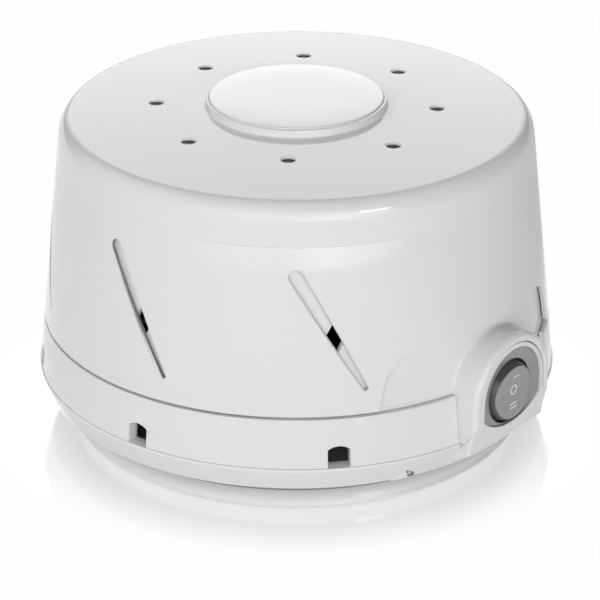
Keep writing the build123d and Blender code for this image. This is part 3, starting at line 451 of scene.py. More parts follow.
# %% Make the cap
def make_cap():
    """Cap: turned shell with slots, top holes and the cut-out for the hood."""
    line_r = wall_r(MOULD_LINE_Z)
    slope = 2 * MOULD_LINE * tan(TAPER)
    seat_floor = BADGE_SEAT_Z - BADGE_RECESS
    bm = half_section([
        (PIVOT_POST_R + RUN_FIT, PIVOT_TOP), (PIVOT_WELL_R, PIVOT_TOP), (PIVOT_WELL_R, seat_floor),
        (BADGE_R + RUN_FIT, seat_floor), (BADGE_R + RUN_FIT, BADGE_SEAT_Z, SEAT_INNER_ROUND),
        (BADGE_SEAT_R, BADGE_SEAT_Z, SEAT_OUTER_ROUND),
        (BADGE_SEAT_R, crown_z(0, BADGE_SEAT_R), SEAT_FOOT_ROUND), *crown_to_shoulder(0, CROWN_FROM),
        (line_r + slope, MOULD_LINE_Z + 2 * MOULD_LINE), (line_r - MOULD_LINE, MOULD_LINE_Z),
        (line_r - slope, MOULD_LINE_Z - 2 * MOULD_LINE), (wall_r(CAP_LOW), CAP_LOW, CAP_LOWER_ROUND),
        (wall_r(CAP_LOW, CAP_WALL), CAP_LOW, EDGE),
        *reversed(crown_to_shoulder(CAP_WALL, PIVOT_POST_R + RUN_FIT)),
    ])
    cap = new_piece(spin_section(bm), "cap_shell")
    uncut = new_piece(bmesh_copy(cap), "uncut")
    slot = teardrop(1, SLOT_TOP_R, SLOT_LOW_R)
    slots = [wall_cutter(slot, a, 0, PORT_REACH, SLOT_LIP) for a in port_angles()]
    carve(cap, join(slots + vent_cutters(VENT_TURN, VENT_R, 0, CAP_WALL)))
    carve(cap, wall_cutter(gate, 0, 0, BODY_R / 2, GATE_LIP))
    shade(cap, uncut)
    dispose(uncut)
    cap.data.transform(Matrix.Rotation(CAP_REST_TURN, 4, "Z"))
    return cap


def bmesh_copy(piece):
    """Copy of a piece's mesh as a bmesh."""
    bm = bmesh.new()
    bm.from_mesh(piece.data)
    return bm


cap = make_cap()
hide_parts("cap")
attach(cap, "cap")
print("cap", len(cap.data.polygons), "faces")

# %% [markdown]
# ## The badge disc
# A thin disc with a softly domed face sits in the seat on the cap. It is left bare. Its half section
# follows a steep power of the radius, which keeps the middle flat and lets only the rim fall away, as on a
# pressed disc.

# %% Make the badge disc
BADGE_POINTS = 24
BADGE_CROWDING = 0.6    # below 1 sets the points closer together towards the rim
BADGE_EDGE = 0.4 * MM


def make_badge():
    """Disc in the cap's seat, nearly flat in the middle and falling off towards its rounded edge."""
    rim = BADGE_SEAT_Z + BADGE_RIM
    low = BADGE_SEAT_Z - BADGE_RECESS
    radii = [BADGE_R * (k / BADGE_POINTS) ** BADGE_CROWDING for k in range(BADGE_POINTS)]
    dome = [(r, rim + BADGE_DOME * (1 - (r / BADGE_R) ** BADGE_FALL)) for r in radii]
    bm = half_section([(0, low), *dome, (BADGE_R, rim, BADGE_EDGE), (BADGE_R, low)])
    disc = new_piece(spin_section(bm), "badge_face")
    shade(disc)
    return disc


badge = make_badge()
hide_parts("badge_disc")
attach(badge, "cap")
print("badge disc", len(badge.data.polygons), "faces")

# %% [markdown]
# ## The collar
# The collar is a band between cap and base. It has a port at each eighth of a turn and is open at the hood,
# with room to turn one way. Its ends are cut square and get a small bevel, because their upright edges
# catch the light. Two boxes make the opening: one straight in front, and one turned by the collar's travel.

# %% Sizes and simple solids
HOOD_HALF_W = 17.0 * MM
HOOD_FRONT = BODY_R + 3.25 * MM
COLLAR_TRAVEL = radians(10)
COLLAR_LIFT = 0.08 * MM
COLLAR_LOWER_ROUND = 0.1 * MM
COLLAR_END_BEVEL = 0.6 * MM
COLLAR_END_HIGH = 8 * MM        # edges that reach higher than this are the upright ones at its ends
BARREL_BACK = 56.5 * MM
ROD_SIDES = 48
BEVEL_STEPS = 3


def turned(bm, angle, axis="Z"):
    """Turns a bmesh about an axis through the origin."""
    bmesh.ops.rotate(bm, verts=bm.verts[:], cent=(0, 0, 0), matrix=Matrix.Rotation(angle, 3, axis))
    return bm


def box(x_low, x_high, y_low, y_high, z_low, z_high):
    """Plain box as a bmesh."""
    bm = bmesh.new()
    bmesh.ops.create_cube(bm, size=1)
    size = Vector((x_high - x_low, y_high - y_low, z_high - z_low))
    middle = Vector((x_high + x_low, y_high + y_low, z_high + z_low)) / 2
    bmesh.ops.scale(bm, verts=bm.verts[:], vec=size)
    bmesh.ops.translate(bm, verts=bm.verts[:], vec=middle)
    return bm


def rod(radius, low, high, x=0.0, y=0.0):
    """Upright cylinder."""
    bm = bmesh.new()
    bmesh.ops.create_cone(
        bm, cap_ends=True, segments=ROD_SIDES, radius1=radius, radius2=radius, depth=high - low,
        matrix=Matrix.Translation((x, y, (low + high) / 2)),
    )
    return bm


def bevel_edges(piece, chosen, width):
    """Rounds the edges of a piece that a test picks by their two ends."""
    bm = bmesh_copy(piece)
    sharp = [e for e in bm.edges if e.calc_face_angle(0) > SHARP]
    edges = [e for e in sharp if chosen(e.verts[0].co, e.verts[1].co)]
    bmesh.ops.bevel(
        bm, geom=edges, offset=width, segments=BEVEL_STEPS, affect="EDGES", clamp_overlap=True, **BEVEL,
    )
    bm.to_mesh(piece.data)
    bm.free()


# %% Make the collar
def make_collar():
    """Collar: turned band with ports, open at the hood."""
    low = LEDGE_Z + COLLAR_LIFT
    bm = half_section([
        (wall_r(low), low, COLLAR_LOWER_ROUND), (wall_r(low, COLLAR_WALL), low, COLLAR_LOWER_ROUND),
        (wall_r(COLLAR_HIGH, COLLAR_WALL), COLLAR_HIGH, EDGE), (wall_r(COLLAR_HIGH), COLLAR_HIGH, EDGE),
    ])
    collar = new_piece(spin_section(bm), "collar_band")
    uncut = new_piece(bmesh_copy(collar), "uncut")
    carve(collar, join([wall_cutter(mouse_hole, a, 0, PORT_REACH) for a in port_angles()]))
    half = HOOD_HALF_W + SIDE_GAP
    at_rest = box(-half + SEAM, half, -HOOD_FRONT, -BARREL_BACK, COLLAR_LOW - MM, COLLAR_HIGH + MM)
    at_end = box(-half, half, -HOOD_FRONT, -BARREL_BACK, COLLAR_LOW - 2 * MM, COLLAR_HIGH + 2 * MM)
    carve(collar, at_rest)
    carve(collar, turned(at_end, COLLAR_TRAVEL))
    bevel_edges(collar, lambda a, b: abs(a.z - b.z) > COLLAR_END_HIGH, COLLAR_END_BEVEL)
    shade(collar, uncut)
    dispose(uncut)
    return collar


collar = make_collar()
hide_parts("collar")
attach(collar, "collar")
print("collar", len(collar.data.polygons), "faces")

# %% [markdown]
# ## The inner housing and its hood
# The inner housing is a second bell close behind the cap. It shows through the slots and in the cap's
# cut-out. The arched hood that shelters the switch is moulded on it. The hood's outline is drawn as an arch
# and bridged ring by ring: in over the rounded front edge, back along the side, and out again in a soft
# fillet that lands on the wall. Drawing the fillet this way needs no bevel along a curved joint, which
# often fails after a boolean.

# %% Sizes of the hood and the switch
HOOD_WALL = 2.65 * MM
HOOD_ROUND = 1.8 * MM
HOOD_FILLET = 0.55 * MM
HOOD_STEPS = 8
HOOD_BURIED = 3.0 * MM
HOOD_INNER_BEVEL = 0.3 * MM
HOOD_OPEN_LOW = LEDGE_Z - 5.0 * MM
HOOD_OPEN_FRONT = HOOD_FRONT - 0.5 * MM
FILLET_END = radians(84)
FILLET_BURIED = 1.2 * MM
LANDING_RISE = 3.0 * MM
LEG_POINTS = 4
ARCH_POINTS = 48
SWITCH_Z = LEDGE_Z + 10.4 * MM
HOOD_IN_W = HOOD_HALF_W - HOOD_WALL
PLATE_HALF_W = HOOD_IN_W - 2 * SEAM
PLATE_FRONT = HOOD_FRONT - 0.35 * MM
PLATE_BACK = HOOD_FRONT - 4.5 * MM
CHIN_BACK = HOOD_FRONT - 3.9 * MM
CHIN_TOP_Z = LEDGE_Z + 6.8 * MM
CHIN_ROUND = 0.8 * MM
FLANK_LONG = 8.0 * MM
FLANK_ROOM = 3.0 * MM
FLANK_Z = LEDGE_Z + 4.8 * MM    # at the outer front corner of a leg
# Slopes of the plane under the legs: up towards the middle, and down towards the back.
FLANK_ACROSS = 0.72
FLANK_BACK = 1.23
FLANGE_INSET = 1.5 * MM
FLANGE_ROUND = 0.15 * MM
PIVOT_RISE = 0.1 * MM
HOUSING_SLOT_LOW_R = HOUSING_SLOT_R - 0.01 * MM
CUT_TOUCH = 1e-8
BASE_TOP = COLLAR_HIGH - 0.5 * MM
POST_ORBIT = 56.0 * MM
POST_TURN = radians(71)
POST_R = 3.6 * MM
POST_SPLIT_Z = 20.0 * MM
POST_TOP_Z = CAP_LOW + 16.8 * MM


def arch(half_w, low):
    """Open outline of an upright arch, from its left foot over the top to its right, as (x, z) points."""
    legs = [low + (SWITCH_Z - low) * k / LEG_POINTS for k in range(LEG_POINTS)]
    top = arc((0, SWITCH_Z), half_w, pi, 0, ARCH_POINTS)
    return [(-half_w, z) for z in legs] + top + [(half_w, z) for z in reversed(legs)]


def standing(outline, out):
    """Points of an (x, z) outline stood up at a distance in front of the axis."""
    return [(x, -out, z) for x, z in outline]


def prism(outline, near, far):
    """Solid between two distances in front of the axis, over a closed (x, z) outline."""
    bm = bmesh.new()
    face = bm.faces.new([bm.verts.new(point) for point in standing(outline, near)])
    made = bmesh.ops.extrude_face_region(bm, geom=[face])["geom"]
    moved = [v for v in made if isinstance(v, bmesh.types.BMVert)]
    bmesh.ops.translate(bm, verts=moved, vec=(0, near - far, 0))
    bmesh.ops.recalc_face_normals(bm, faces=bm.faces[:])
    return bm


def hood_rings():
    """Rings of the hood, from the back of its inner side over its front edge to its fillet on the wall."""
    low = LEDGE_Z + SEAM
    back = wall_r(SWITCH_Z, HOUSING_IN) - HOOD_BURIED
    rings = [
        standing(arch(HOOD_IN_W, low), back),
        standing(arch(HOOD_IN_W, low), HOOD_FRONT - HOOD_INNER_BEVEL),
        standing(arch(HOOD_IN_W + HOOD_INNER_BEVEL, low), HOOD_FRONT),
    ]
    for k in range(HOOD_STEPS + 1):
        turn = pi / 2 * k / HOOD_STEPS
        half = HOOD_HALF_W - HOOD_ROUND + HOOD_ROUND * sin(turn)
        rings.append(standing(arch(half, low), HOOD_FRONT - HOOD_ROUND + HOOD_ROUND * cos(turn)))
    outside = arch(HOOD_HALF_W, low)
    for k in range(HOOD_STEPS + 1):
        turn = FILLET_END * k / HOOD_STEPS
        spread_by = HOOD_FILLET * (1 - cos(turn))
        stand = HOOD_FILLET * (1 - sin(turn))
        rings.append([on_land(x, z, spread_by, stand) for x, z in outside])
    rings.append([on_land(x, z, HOOD_FILLET, -FILLET_BURIED) for x, z in outside])
    return rings


def on_land(x, z, spread_by, stand):
    """Point of the hood's fillet: spread outwards from the arch, and standing off the wall behind it."""
    across = Vector((x, 0)) if z < SWITCH_Z else Vector((x, z - SWITCH_Z))
    out = across.normalized() * spread_by * landing(z)
    at_x, at_z = x + out.x, z + out.y
    return at_x, -(sqrt(wall_r(at_z, HOUSING_INSET) ** 2 - at_x ** 2) + stand), at_z


def landing(z):
    """How much of the fillet there is at a height: none beside the collar, all of it beside the cap."""
    return max(0.0, min(1.0, (z - CAP_LOW) / LANDING_RISE))


print("hood reaches", round(HOOD_FRONT / MM, 2), "mm in front of the axis")


# %% Make the inner housing
def make_hood():
    """Solid of the hood through its rings."""
    bm = bmesh.new()
    grid = [[bm.verts.new(point) for point in ring] for ring in hood_rings()]
    loops = [[bm.edges.new((row[i], row[i + 1])) for i in range(len(row) - 1)] for row in grid]
    for near, far in zip(loops, loops[1:]):
        bmesh.ops.bridge_loops(bm, edges=near + far)
    bmesh.ops.bridge_loops(bm, edges=loops[-1] + loops[0])
    bmesh.ops.holes_fill(bm, edges=bm.edges[:], sides=0)
    bmesh.ops.recalc_face_normals(bm, faces=bm.faces[:])
    return bm


def bisect(bm, at, normal):
    """Cuts a solid off on the side that a normal points to, and closes the cut."""
    geom = bm.verts[:] + bm.edges[:] + bm.faces[:]
    made = bmesh.ops.bisect_plane(
        bm, geom=geom, dist=CUT_TOUCH, plane_co=at, plane_no=normal, clear_outer=True,
    )
    rim = [e for e in made["geom_cut"] if isinstance(e, bmesh.types.BMEdge)]
    bmesh.ops.contextual_create(bm, geom=rim)
    bmesh.ops.recalc_face_normals(bm, faces=bm.faces[:])


def flank_plane(side, gap):
    """Sloping plane on which a leg of the hood ends, and on which the chin's wing ends below it."""
    at = (side * HOOD_HALF_W, -HOOD_FRONT, FLANK_Z + gap)
    return at, Vector((side * FLANK_ACROSS, FLANK_BACK, 1)).normalized()


def flank(side, gap):
    """Cutter of the room under one leg of the hood."""
    near, far = sorted((side * (HOOD_IN_W - SEAM), side * (HOOD_HALF_W + MM)))
    bm = box(near, far, -HOOD_FRONT - MM, -HOOD_FRONT + FLANK_LONG, LEDGE_Z - MM, CHIN_TOP_Z + FLANK_ROOM)
    bisect(bm, *flank_plane(side, gap))
    return bm


def screw_posts():
    """Posts of the case screws, each tied to the wall by a rib."""
    half = HOUSING_WALL / 2
    reach = wall_r(POST_TOP_Z, HOUSING_INSET + half)
    posts = []
    for k in range(4):
        angle = POST_TURN + pi / 2 * k
        posts.append(rod(POST_R, POST_SPLIT_Z, POST_TOP_Z, *on_circle(POST_ORBIT, angle)))
        posts.append(turned(box(-half, half, -reach, -POST_ORBIT, CAP_LOW, POST_TOP_Z), angle))
    return posts


def make_housing():
    """Inner housing: slotted bell with its flange, the post that the cap turns on, and the hood."""
    flange_low = COLLAR_HIGH + SEAM
    post_top = PIVOT_TOP + PIVOT_RISE
    bm = half_section([
        (PIVOT_SCREW_R, PIVOT_LOW), (PIVOT_SCREW_R, post_top), (PIVOT_POST_R, post_top),
        *crown_to_shoulder(HOUSING_INSET, PIVOT_POST_R), (wall_r(CAP_LOW, HOUSING_INSET), CAP_LOW),
        (wall_r(CAP_LOW, FLANGE_INSET), CAP_LOW, FLANGE_ROUND),
        (wall_r(flange_low, FLANGE_INSET), flange_low),
        (wall_r(flange_low, WALL_INSET), flange_low), (wall_r(BASE_TOP, WALL_INSET), BASE_TOP),
        (wall_r(BASE_TOP, WALL_IN), BASE_TOP), (wall_r(CAP_LOW, WALL_IN), CAP_LOW),
        (wall_r(CAP_LOW, HOUSING_IN), CAP_LOW), *reversed(crown_to_shoulder(HOUSING_IN, PIVOT_POST_R)),
        (PIVOT_POST_R, PIVOT_LOW),
    ])
    housing = new_piece(spin_section(bm), "inner_housing")
    uncut = new_piece(bmesh_copy(housing), "uncut")
    slot = teardrop(-1, HOUSING_SLOT_R, HOUSING_SLOT_LOW_R)
    slots = [wall_cutter(slot, a + HOUSING_SHIFT, HOUSING_INSET, PORT_REACH) for a in port_angles()]
    vents = vent_cutters(VENT_TURN + HOUSING_SHIFT, HOUSING_VENT_R, HOUSING_INSET, HOUSING_WALL)
    carve(housing, join(slots + vents))
    for bm in [make_hood()] + screw_posts():
        carve(housing, bm, "UNION")
    carve(housing, prism(arch(HOOD_IN_W, HOOD_OPEN_LOW), BARREL_BACK, HOOD_OPEN_FRONT))
    for side in (-1, 1):
        carve(housing, flank(side, SEAM))
    shade(housing, uncut)
    dispose(uncut)
    return housing


housing = make_housing()
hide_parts("acoustic_housing")
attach(housing, "body")
print("housing", len(housing.data.polygons), "faces")

# %% [markdown]
# ## The base
# The base is a tray on a foot ring. Its lip draws in below the collar, and at the switch it grows into a
# chin and an upright plate that fills the hood. The round part is turned. The chin isn't round, so it is
# lofted from level rows and joined on, and then the room for the switch and the flex is cut out of both.

# %% Sizes of the tray
LIP_R = BODY_R + 0.35 * MM
LIP_LOW_R = LIP_R - 2.3 * MM
LIP_LOW_Z = LEDGE_Z - 6.7 * MM
LIP_WIDEST_Z = LEDGE_Z - 0.6 * MM
RING_R = LIP_R - 9.8 * MM
RING_WALL = 2.2 * MM
RING_LIFT = 0.3 * MM
RING_FLARE = 0.5 * MM
RING_FLARE_RISE = 1.2 * MM
RING_FLARE_ROUND = 0.8 * MM
RING_EDGE_RISE = 0.2 * MM
RING_EDGE_ROUND = 0.1 * MM
RING_INNER_ROUND = 0.5 * MM
RING_TOP_ROUND = 0.3 * MM
CREASE_ROUND = 0.5 * MM
LIP_LOWER_ROUND = 0.4 * MM
LIP_WIDE_ROUND = 1.2 * MM
LIP_UPPER_ROUND = 0.2 * MM
FLOOR_LOW = LIP_LOW_Z - 0.6 * MM
FLOOR_TOP = FLOOR_LOW + 2.0 * MM
FOOT_ORBIT = 52.0 * MM
FOOT_R = 5.0 * MM
FOOT_FIT = 0.02 * MM
FOOT_THICK = 2.0 * MM
FOOT_RECESS = 0.8 * MM
CASE_HEAD_R = 3.2 * MM
CASE_HEAD_TOP = FLOOR_TOP - 0.2 * MM
MOUNT_X = 21.0 * MM
MOUNT_Y = 33.0 * MM
MOUNT_R = 5.0 * MM
MOUNT_TOP = 20.9 * MM
BOSS_SINK = 0.1 * MM
INLET_TURN = radians(-26.7)
INLET_W = 6.8 * MM
INLET_H = 3.0 * MM
INLET_POINTS = 14
GLAND_HIGH_R = LIP_LOW_R - 2.1 * MM
GLAND_LOW_R = GLAND_HIGH_R - 8.1 * MM
GLAND_W = 10.0 * MM
GLAND_H = 6.3 * MM
WEB_IN = 69.9 * MM
WEB_OUT = 70.3 * MM
# Corners of the web in the groove, in millimetres: across, and up from the tray's underside.
WEB_CORNERS = ((-3.6, 0.1), (1.5, 0.1), (0.9, 2.3), (-0.2, 2.6), (-0.6, 3.15), (-2.6, 3.1), (-3.6, 2.2))

# %% Sizes of the switch and the chin
BEZEL_FRONT = HOOD_FRONT - 0.85 * MM
BEZEL_BACK = BEZEL_FRONT - 1.6 * MM
BEZEL_HALF_W = 12.75 * MM
BEZEL_DROP = 9.4 * MM
BEZEL_LOW_R = 19.0 * MM
BEZEL_DISH = 0.65 * MM
BEZEL_RIM = 0.55 * MM
BEZEL_FIT = 0.05 * MM
ROCKER_DEEP = 4.55 * MM
ROCKER_R = 9.35 * MM
ROCKER_GAP = 0.55 * MM
ROCKER_FRONT = BEZEL_FRONT + 1.05 * MM
ROCKER_DIP = 0.8 * MM
ROCKER_TAIL = 2.1 * MM
ROCKER_PIN_R = 1.2 * MM
ROCKER_PIN_END = 10.9 * MM
ROCKER_HINGE_Y = BEZEL_FRONT - ROCKER_DEEP
HINGE = Vector((0, -ROCKER_HINGE_Y, SWITCH_Z))
BARREL_R = 11.4 * MM
BARREL_POINTS = 64
BEZEL_POINTS = 40
PLATE_LOW_Z = LEDGE_Z + 4.4 * MM
PLATE_BEVEL = 0.25 * MM
# Rows of the chin's face: height, distance from the axis in the middle, and how far its ends fall back.
CHIN_STEPS = (
    (LIP_LOW_Z, LIP_LOW_R - 0.3 * MM, 2.1 * MM), (LEDGE_Z - 3.5 * MM, HOOD_FRONT - 2.2 * MM, 0.5 * MM),
    (LEDGE_Z - 3.1 * MM, HOOD_FRONT - 1.75 * MM, 0.5 * MM), (LEDGE_Z, HOOD_FRONT - 1.25 * MM, 0.6 * MM),
    (LEDGE_Z + 1.3 * MM, HOOD_FRONT - 0.8 * MM, 0.6 * MM), (LEDGE_Z + 3.9 * MM, PLATE_FRONT, 0.5 * MM),
    (CHIN_TOP_Z, PLATE_FRONT, 0.3 * MM),
)
CHIN_SUBROWS = 4
CHIN_POINTS = 20                # on each side of the middle
CHIN_REACH = GLAND_HIGH_R - 3.0 * MM
TINY = 1e-9
FLAT = 1e-6


# %% Make the chin
def bezel_outline(grow=0.0):
    """Front outline of the switch's flange: a half circle, straight sides and a bowed lower edge."""
    half = BEZEL_HALF_W + grow
    low = SWITCH_Z - BEZEL_DROP - grow
    open_by = asin(half / BEZEL_LOW_R)
    centre = (0, low + BEZEL_LOW_R)
    bottom = arc(centre, BEZEL_LOW_R, -pi / 2 - open_by, -pi / 2 + open_by, BEZEL_POINTS // 2)
    return bottom + arc((0, SWITCH_Z), half, 0, pi, BEZEL_POINTS)


def chin_front(x, z):
    """Distance of the chin's face in front of the axis: upright below, then out to the plate, and bowed."""
    for low, high in zip(CHIN_STEPS, CHIN_STEPS[1:]):
        if z <= high[0] + TINY:
            share = (z - low[0]) / (high[0] - low[0])
            middle, bow = (start + (end - start) * share for start, end in zip(low[1:], high[1:]))
            return middle - bow * (x / HOOD_HALF_W) ** 2


def chin_row(z):
    """Level outline of the chin, with its front corners rounded."""
    row = []
    for k in range(-CHIN_POINTS, CHIN_POINTS + 1):
        x = HOOD_HALF_W * sin(pi / 2 * k / CHIN_POINTS)
        side = max(0.0, abs(x) - (HOOD_HALF_W - CHIN_ROUND)) / CHIN_ROUND
        row.append((x, CHIN_ROUND * (1 - sqrt(max(0.0, 1 - side ** 2))) - chin_front(x, z), z))
    return row + [(HOOD_HALF_W, -CHIN_REACH, z), (-HOOD_HALF_W, -CHIN_REACH, z)]


def chin_solid():
    """Chin: rows lofted upwards, cleared behind for the switch, and sloping off under the hood's legs."""
    rows = []
    for low, high in zip(CHIN_STEPS, CHIN_STEPS[1:]):
        rows += [chin_row(low[0] + (high[0] - low[0]) * k / CHIN_SUBROWS) for k in range(CHIN_SUBROWS)]
    bm = loft(rows + [chin_row(CHIN_TOP_Z)])
    for side in (-1, 1):
        bisect(bm, *flank_plane(side, 0))
    chin = new_piece(bm, "chin")
    half = HOOD_IN_W - 2 * SEAM
    carve(chin, box(-half, half, -CHIN_BACK, 0, LEDGE_Z, HOOD_FRONT))
    solid = bmesh_copy(chin)
    dispose(chin)
    return solid


# %% Openings and bosses of the tray
def inlet_cutters():
    """Arched groove under the lip for the flex, and the pocket of the gland behind it."""
    half = INLET_W / 2
    ball = (half ** 2 + (half / 2) ** 2) / half
    open_by = asin(half / ball)
    low = FLOOR_LOW - MM
    top = arc((0, FLOOR_LOW + INLET_H - ball), ball, pi / 2 - open_by, pi / 2 + open_by, INLET_POINTS)
    groove = prism([(-half, low), (half, low)] + top, GLAND_LOW_R, LIP_R + MM)
    half = GLAND_W / 2
    pocket = box(-half, half, -GLAND_HIGH_R, -GLAND_LOW_R, FLOOR_LOW - MM / 2, FLOOR_LOW + GLAND_H)
    return turned(groove, INLET_TURN), turned(pocket, INLET_TURN)


def inlet_web():
    """Thin web that fills the left part of the flex's groove."""
    return turned(prism([(x * MM, FLOOR_LOW + z * MM) for x, z in WEB_CORNERS], WEB_IN, WEB_OUT), INLET_TURN)


def foot_and_post_places():
    """Places of the four feet, each with that of the case screw next to it."""
    for k in range(4):
        yield on_circle(FOOT_ORBIT, PORT_ANGLE * (2 * k + 1)), on_circle(POST_ORBIT, POST_TURN + pi / 2 * k)


def base_bosses():
    """Bosses of the feet under the tray, and of the case screws and the motor above it."""
    low = FLOOR_TOP - BOSS_SINK
    bosses = []
    for foot, post in foot_and_post_places():
        bosses.append(rod(FOOT_R + BASE_WALL, FOOT_THICK - FOOT_RECESS, FLOOR_LOW + BOSS_SINK, *foot))
        bosses.append(rod(POST_R, low, POST_SPLIT_Z, *post))
    mounts = [(x, y) for x in (-MOUNT_X, MOUNT_X) for y in (-MOUNT_Y, MOUNT_Y)]
    return bosses + [rod(MOUNT_R, low, MOUNT_TOP, x, y) for x, y in mounts]


def base_holes():
    """Recesses of the feet and of the case screws' heads."""
    holes = []
    for foot, post in foot_and_post_places():
        holes.append(rod(FOOT_R + FOOT_FIT, -MM, FOOT_THICK, *foot))
        holes.append(rod(CASE_HEAD_R, -MM, CASE_HEAD_TOP, *post))
    return holes


def switch_plate():
    """Upright plate that fills the hood, with a fine bevel along its front edge."""
    plate = prism(arch(PLATE_HALF_W, PLATE_LOW_Z), PLATE_BACK, PLATE_FRONT)
    front = [e for e in plate.edges if all(abs(v.co.y + PLATE_FRONT) < FLAT for v in e.verts)]
    edges = [e for e in front if max(v.co.z for v in e.verts) > PLATE_LOW_Z + FLAT]
    bmesh.ops.bevel(plate, geom=edges, offset=PLATE_BEVEL, segments=BEVEL_STEPS, affect="EDGES", **BEVEL)
    return plate


# %% Make the base
def tray_section():
    """Half section of the tray with its foot ring, lip and upright wall."""
    ring_in = RING_R - RING_WALL
    ring_out = RING_R + RING_FLARE
    return half_section([
        (0, FLOOR_LOW), (ring_in, FLOOR_LOW), (ring_in, RING_LIFT, RING_INNER_ROUND),
        (ring_out, RING_LIFT, RING_EDGE_ROUND), (ring_out, RING_LIFT + RING_EDGE_RISE, RING_EDGE_ROUND),
        (RING_R, RING_LIFT + RING_FLARE_RISE, RING_FLARE_ROUND), (RING_R, FLOOR_LOW, RING_TOP_ROUND),
        (LIP_LOW_R - BASE_WALL / 2, FLOOR_LOW, CREASE_ROUND), (LIP_LOW_R, LIP_LOW_Z, LIP_LOWER_ROUND),
        (LIP_R, LIP_WIDEST_Z, LIP_WIDE_ROUND), (LIP_R - SEAM, LEDGE_Z, LIP_UPPER_ROUND),
        (wall_r(LEDGE_Z, WALL_INSET), LEDGE_Z), (wall_r(BASE_TOP, WALL_INSET), BASE_TOP),
        (wall_r(BASE_TOP, WALL_IN), BASE_TOP), (wall_r(FLOOR_TOP, WALL_IN), FLOOR_TOP), (0, FLOOR_TOP),
    ])


def make_base():
    """Base: tray, foot ring, lip, upright wall with ports, chin and switch plate."""
    base = new_piece(spin_section(tray_section()), "base_tray")
    uncut = new_piece(bmesh_copy(base), "uncut")
    half = HOOD_HALF_W + SEAM
    carve(base, box(-half, half, -LIP_R, -BARREL_BACK, LEDGE_Z, BASE_TOP + MM))
    carve(base, join([wall_cutter(wall_hole, a, WALL_INSET, PORT_REACH) for a in port_angles()]))
    carve(base, chin_solid(), "UNION")
    carve(base, switch_plate(), "UNION")
    carve(base, prism(bezel_outline(BEZEL_FIT), BEZEL_BACK, HOOD_FRONT + MM))
    barrel = circle((0, SWITCH_Z), BARREL_R + BEZEL_FIT, BARREL_POINTS)
    carve(base, prism(barrel, BARREL_BACK, BEZEL_BACK + BEZEL_FIT))
    for cutter in inlet_cutters():
        carve(base, cutter)
    carve(base, inlet_web(), "UNION")
    carve(base, join(base_bosses()), "UNION")
    carve(base, join(base_holes()))
    shade(base, uncut)
    dispose(uncut)
    return base


base = make_base()
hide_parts("base")
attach(base, "body")
print("base", len(base.data.polygons), "faces")

# %% [markdown]
# ## The switch
# The switch's grey flange fills the plate. Its face sinks a little towards the rocker, and the rocker is a
# slice of a ball, so that it can tip in a round opening with an even gap. Both shapes are too free for a
# spin, so their rings are worked out one by one and bridged.

# %% Make the flange
BEZEL_SIDES = 120
BEZEL_EDGE = 0.2 * MM
EDGE_ROWS = ((0.0, 1.0), (0.3, 0.3), (1.0, 0.0))    # across and back, as shares of the edge's rounding
DISH_STEPS = 7


def ring_round(radius, out):
    """Ring of points round the switch's axis."""
    turns = [2 * pi * k / BEZEL_SIDES for k in range(BEZEL_SIDES)]
    return standing([(radius * cos(turn), SWITCH_Z + radius * sin(turn)) for turn in turns], out)


def toward(outline, inset):
    """Outline resampled at even angles about the switch's axis, inset by a width."""
    middle = Vector((0, SWITCH_Z))
    corners = [Vector(point) - middle for point in outline]
    points = []
    for k in range(BEZEL_SIDES):
        turn = 2 * pi * k / BEZEL_SIDES
        ray = Vector((cos(turn), sin(turn)))
        best = 0.0
        for start, end in zip(corners, corners[1:] + corners[:1]):
            hit = geometry.intersect_line_line_2d((0, 0), ray * BARREL_R * 2, start, end)
            if hit:
                best = max(best, hit.length)
        points.append(ray * (best - inset))
    return [(p.x, SWITCH_Z + p.y) for p in points]


def dish_row(brim, open_r, share):
    """Ring of the sunk face, at a share of the way from the brim to the opening's edge."""
    wide = BEZEL_HALF_W - BEZEL_RIM
    row = []
    for x, z in brim:
        out = Vector((x, z - SWITCH_Z))
        far = out.length + (open_r + BEZEL_EDGE - out.length) * share
        sunk = BEZEL_DISH * min(1.0, max(0.0, (wide - far) / (wide - open_r)))
        row.append((out.x * far / out.length, sunk - BEZEL_FRONT, SWITCH_Z + out.y * far / out.length))
    return row


def make_bezel():
    """Flange of the switch, with a sunk face and a round opening."""
    room = ROCKER_R + ROCKER_GAP
    open_r = sqrt(room ** 2 - (ROCKER_DEEP - BEZEL_DISH) ** 2)
    back_r = sqrt(room ** 2 - (BEZEL_BACK - ROCKER_HINGE_Y) ** 2)
    outline = bezel_outline()
    rings = [standing(toward(outline, 0), BEZEL_BACK)]
    for across, back in EDGE_ROWS:
        rings.append(standing(toward(outline, across * BEZEL_EDGE), BEZEL_FRONT - back * BEZEL_EDGE))
    brim = toward(outline, BEZEL_EDGE)
    rings += [dish_row(brim, open_r, k / DISH_STEPS) for k in range(1, DISH_STEPS + 1)]
    for across, back in EDGE_ROWS[1::-1]:
        rings.append(ring_round(open_r + across * BEZEL_EDGE, BEZEL_FRONT - BEZEL_DISH - back * BEZEL_EDGE))
    rings.append(ring_round(back_r, BEZEL_BACK))
    bezel = new_piece(sleeve(rings), "switch_flange")
    shade(bezel)
    return bezel


def sleeve(rings):
    """Closed tube-like solid through rings that run all the way round and meet again."""
    bm = bmesh.new()
    loops = edge_loops(bm, rings)
    for near, far in zip(loops, loops[1:] + loops[:1]):
        bmesh.ops.bridge_loops(bm, edges=near + far)
    bmesh.ops.recalc_face_normals(bm, faces=bm.faces[:])
    return bm


bezel = make_bezel()
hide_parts("switch_bezel")
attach(bezel, "body")
print("flange", len(bezel.data.polygons), "faces")

# %% [markdown]
# ### The rocker
# The rocker's face is a shallow valley and its side is part of a ball about the hinge, so that the gap
# round it stays even as it tips. Where the valley meets the ball isn't a plain circle, so its radius is
# found in each direction by a few rounds of trial.

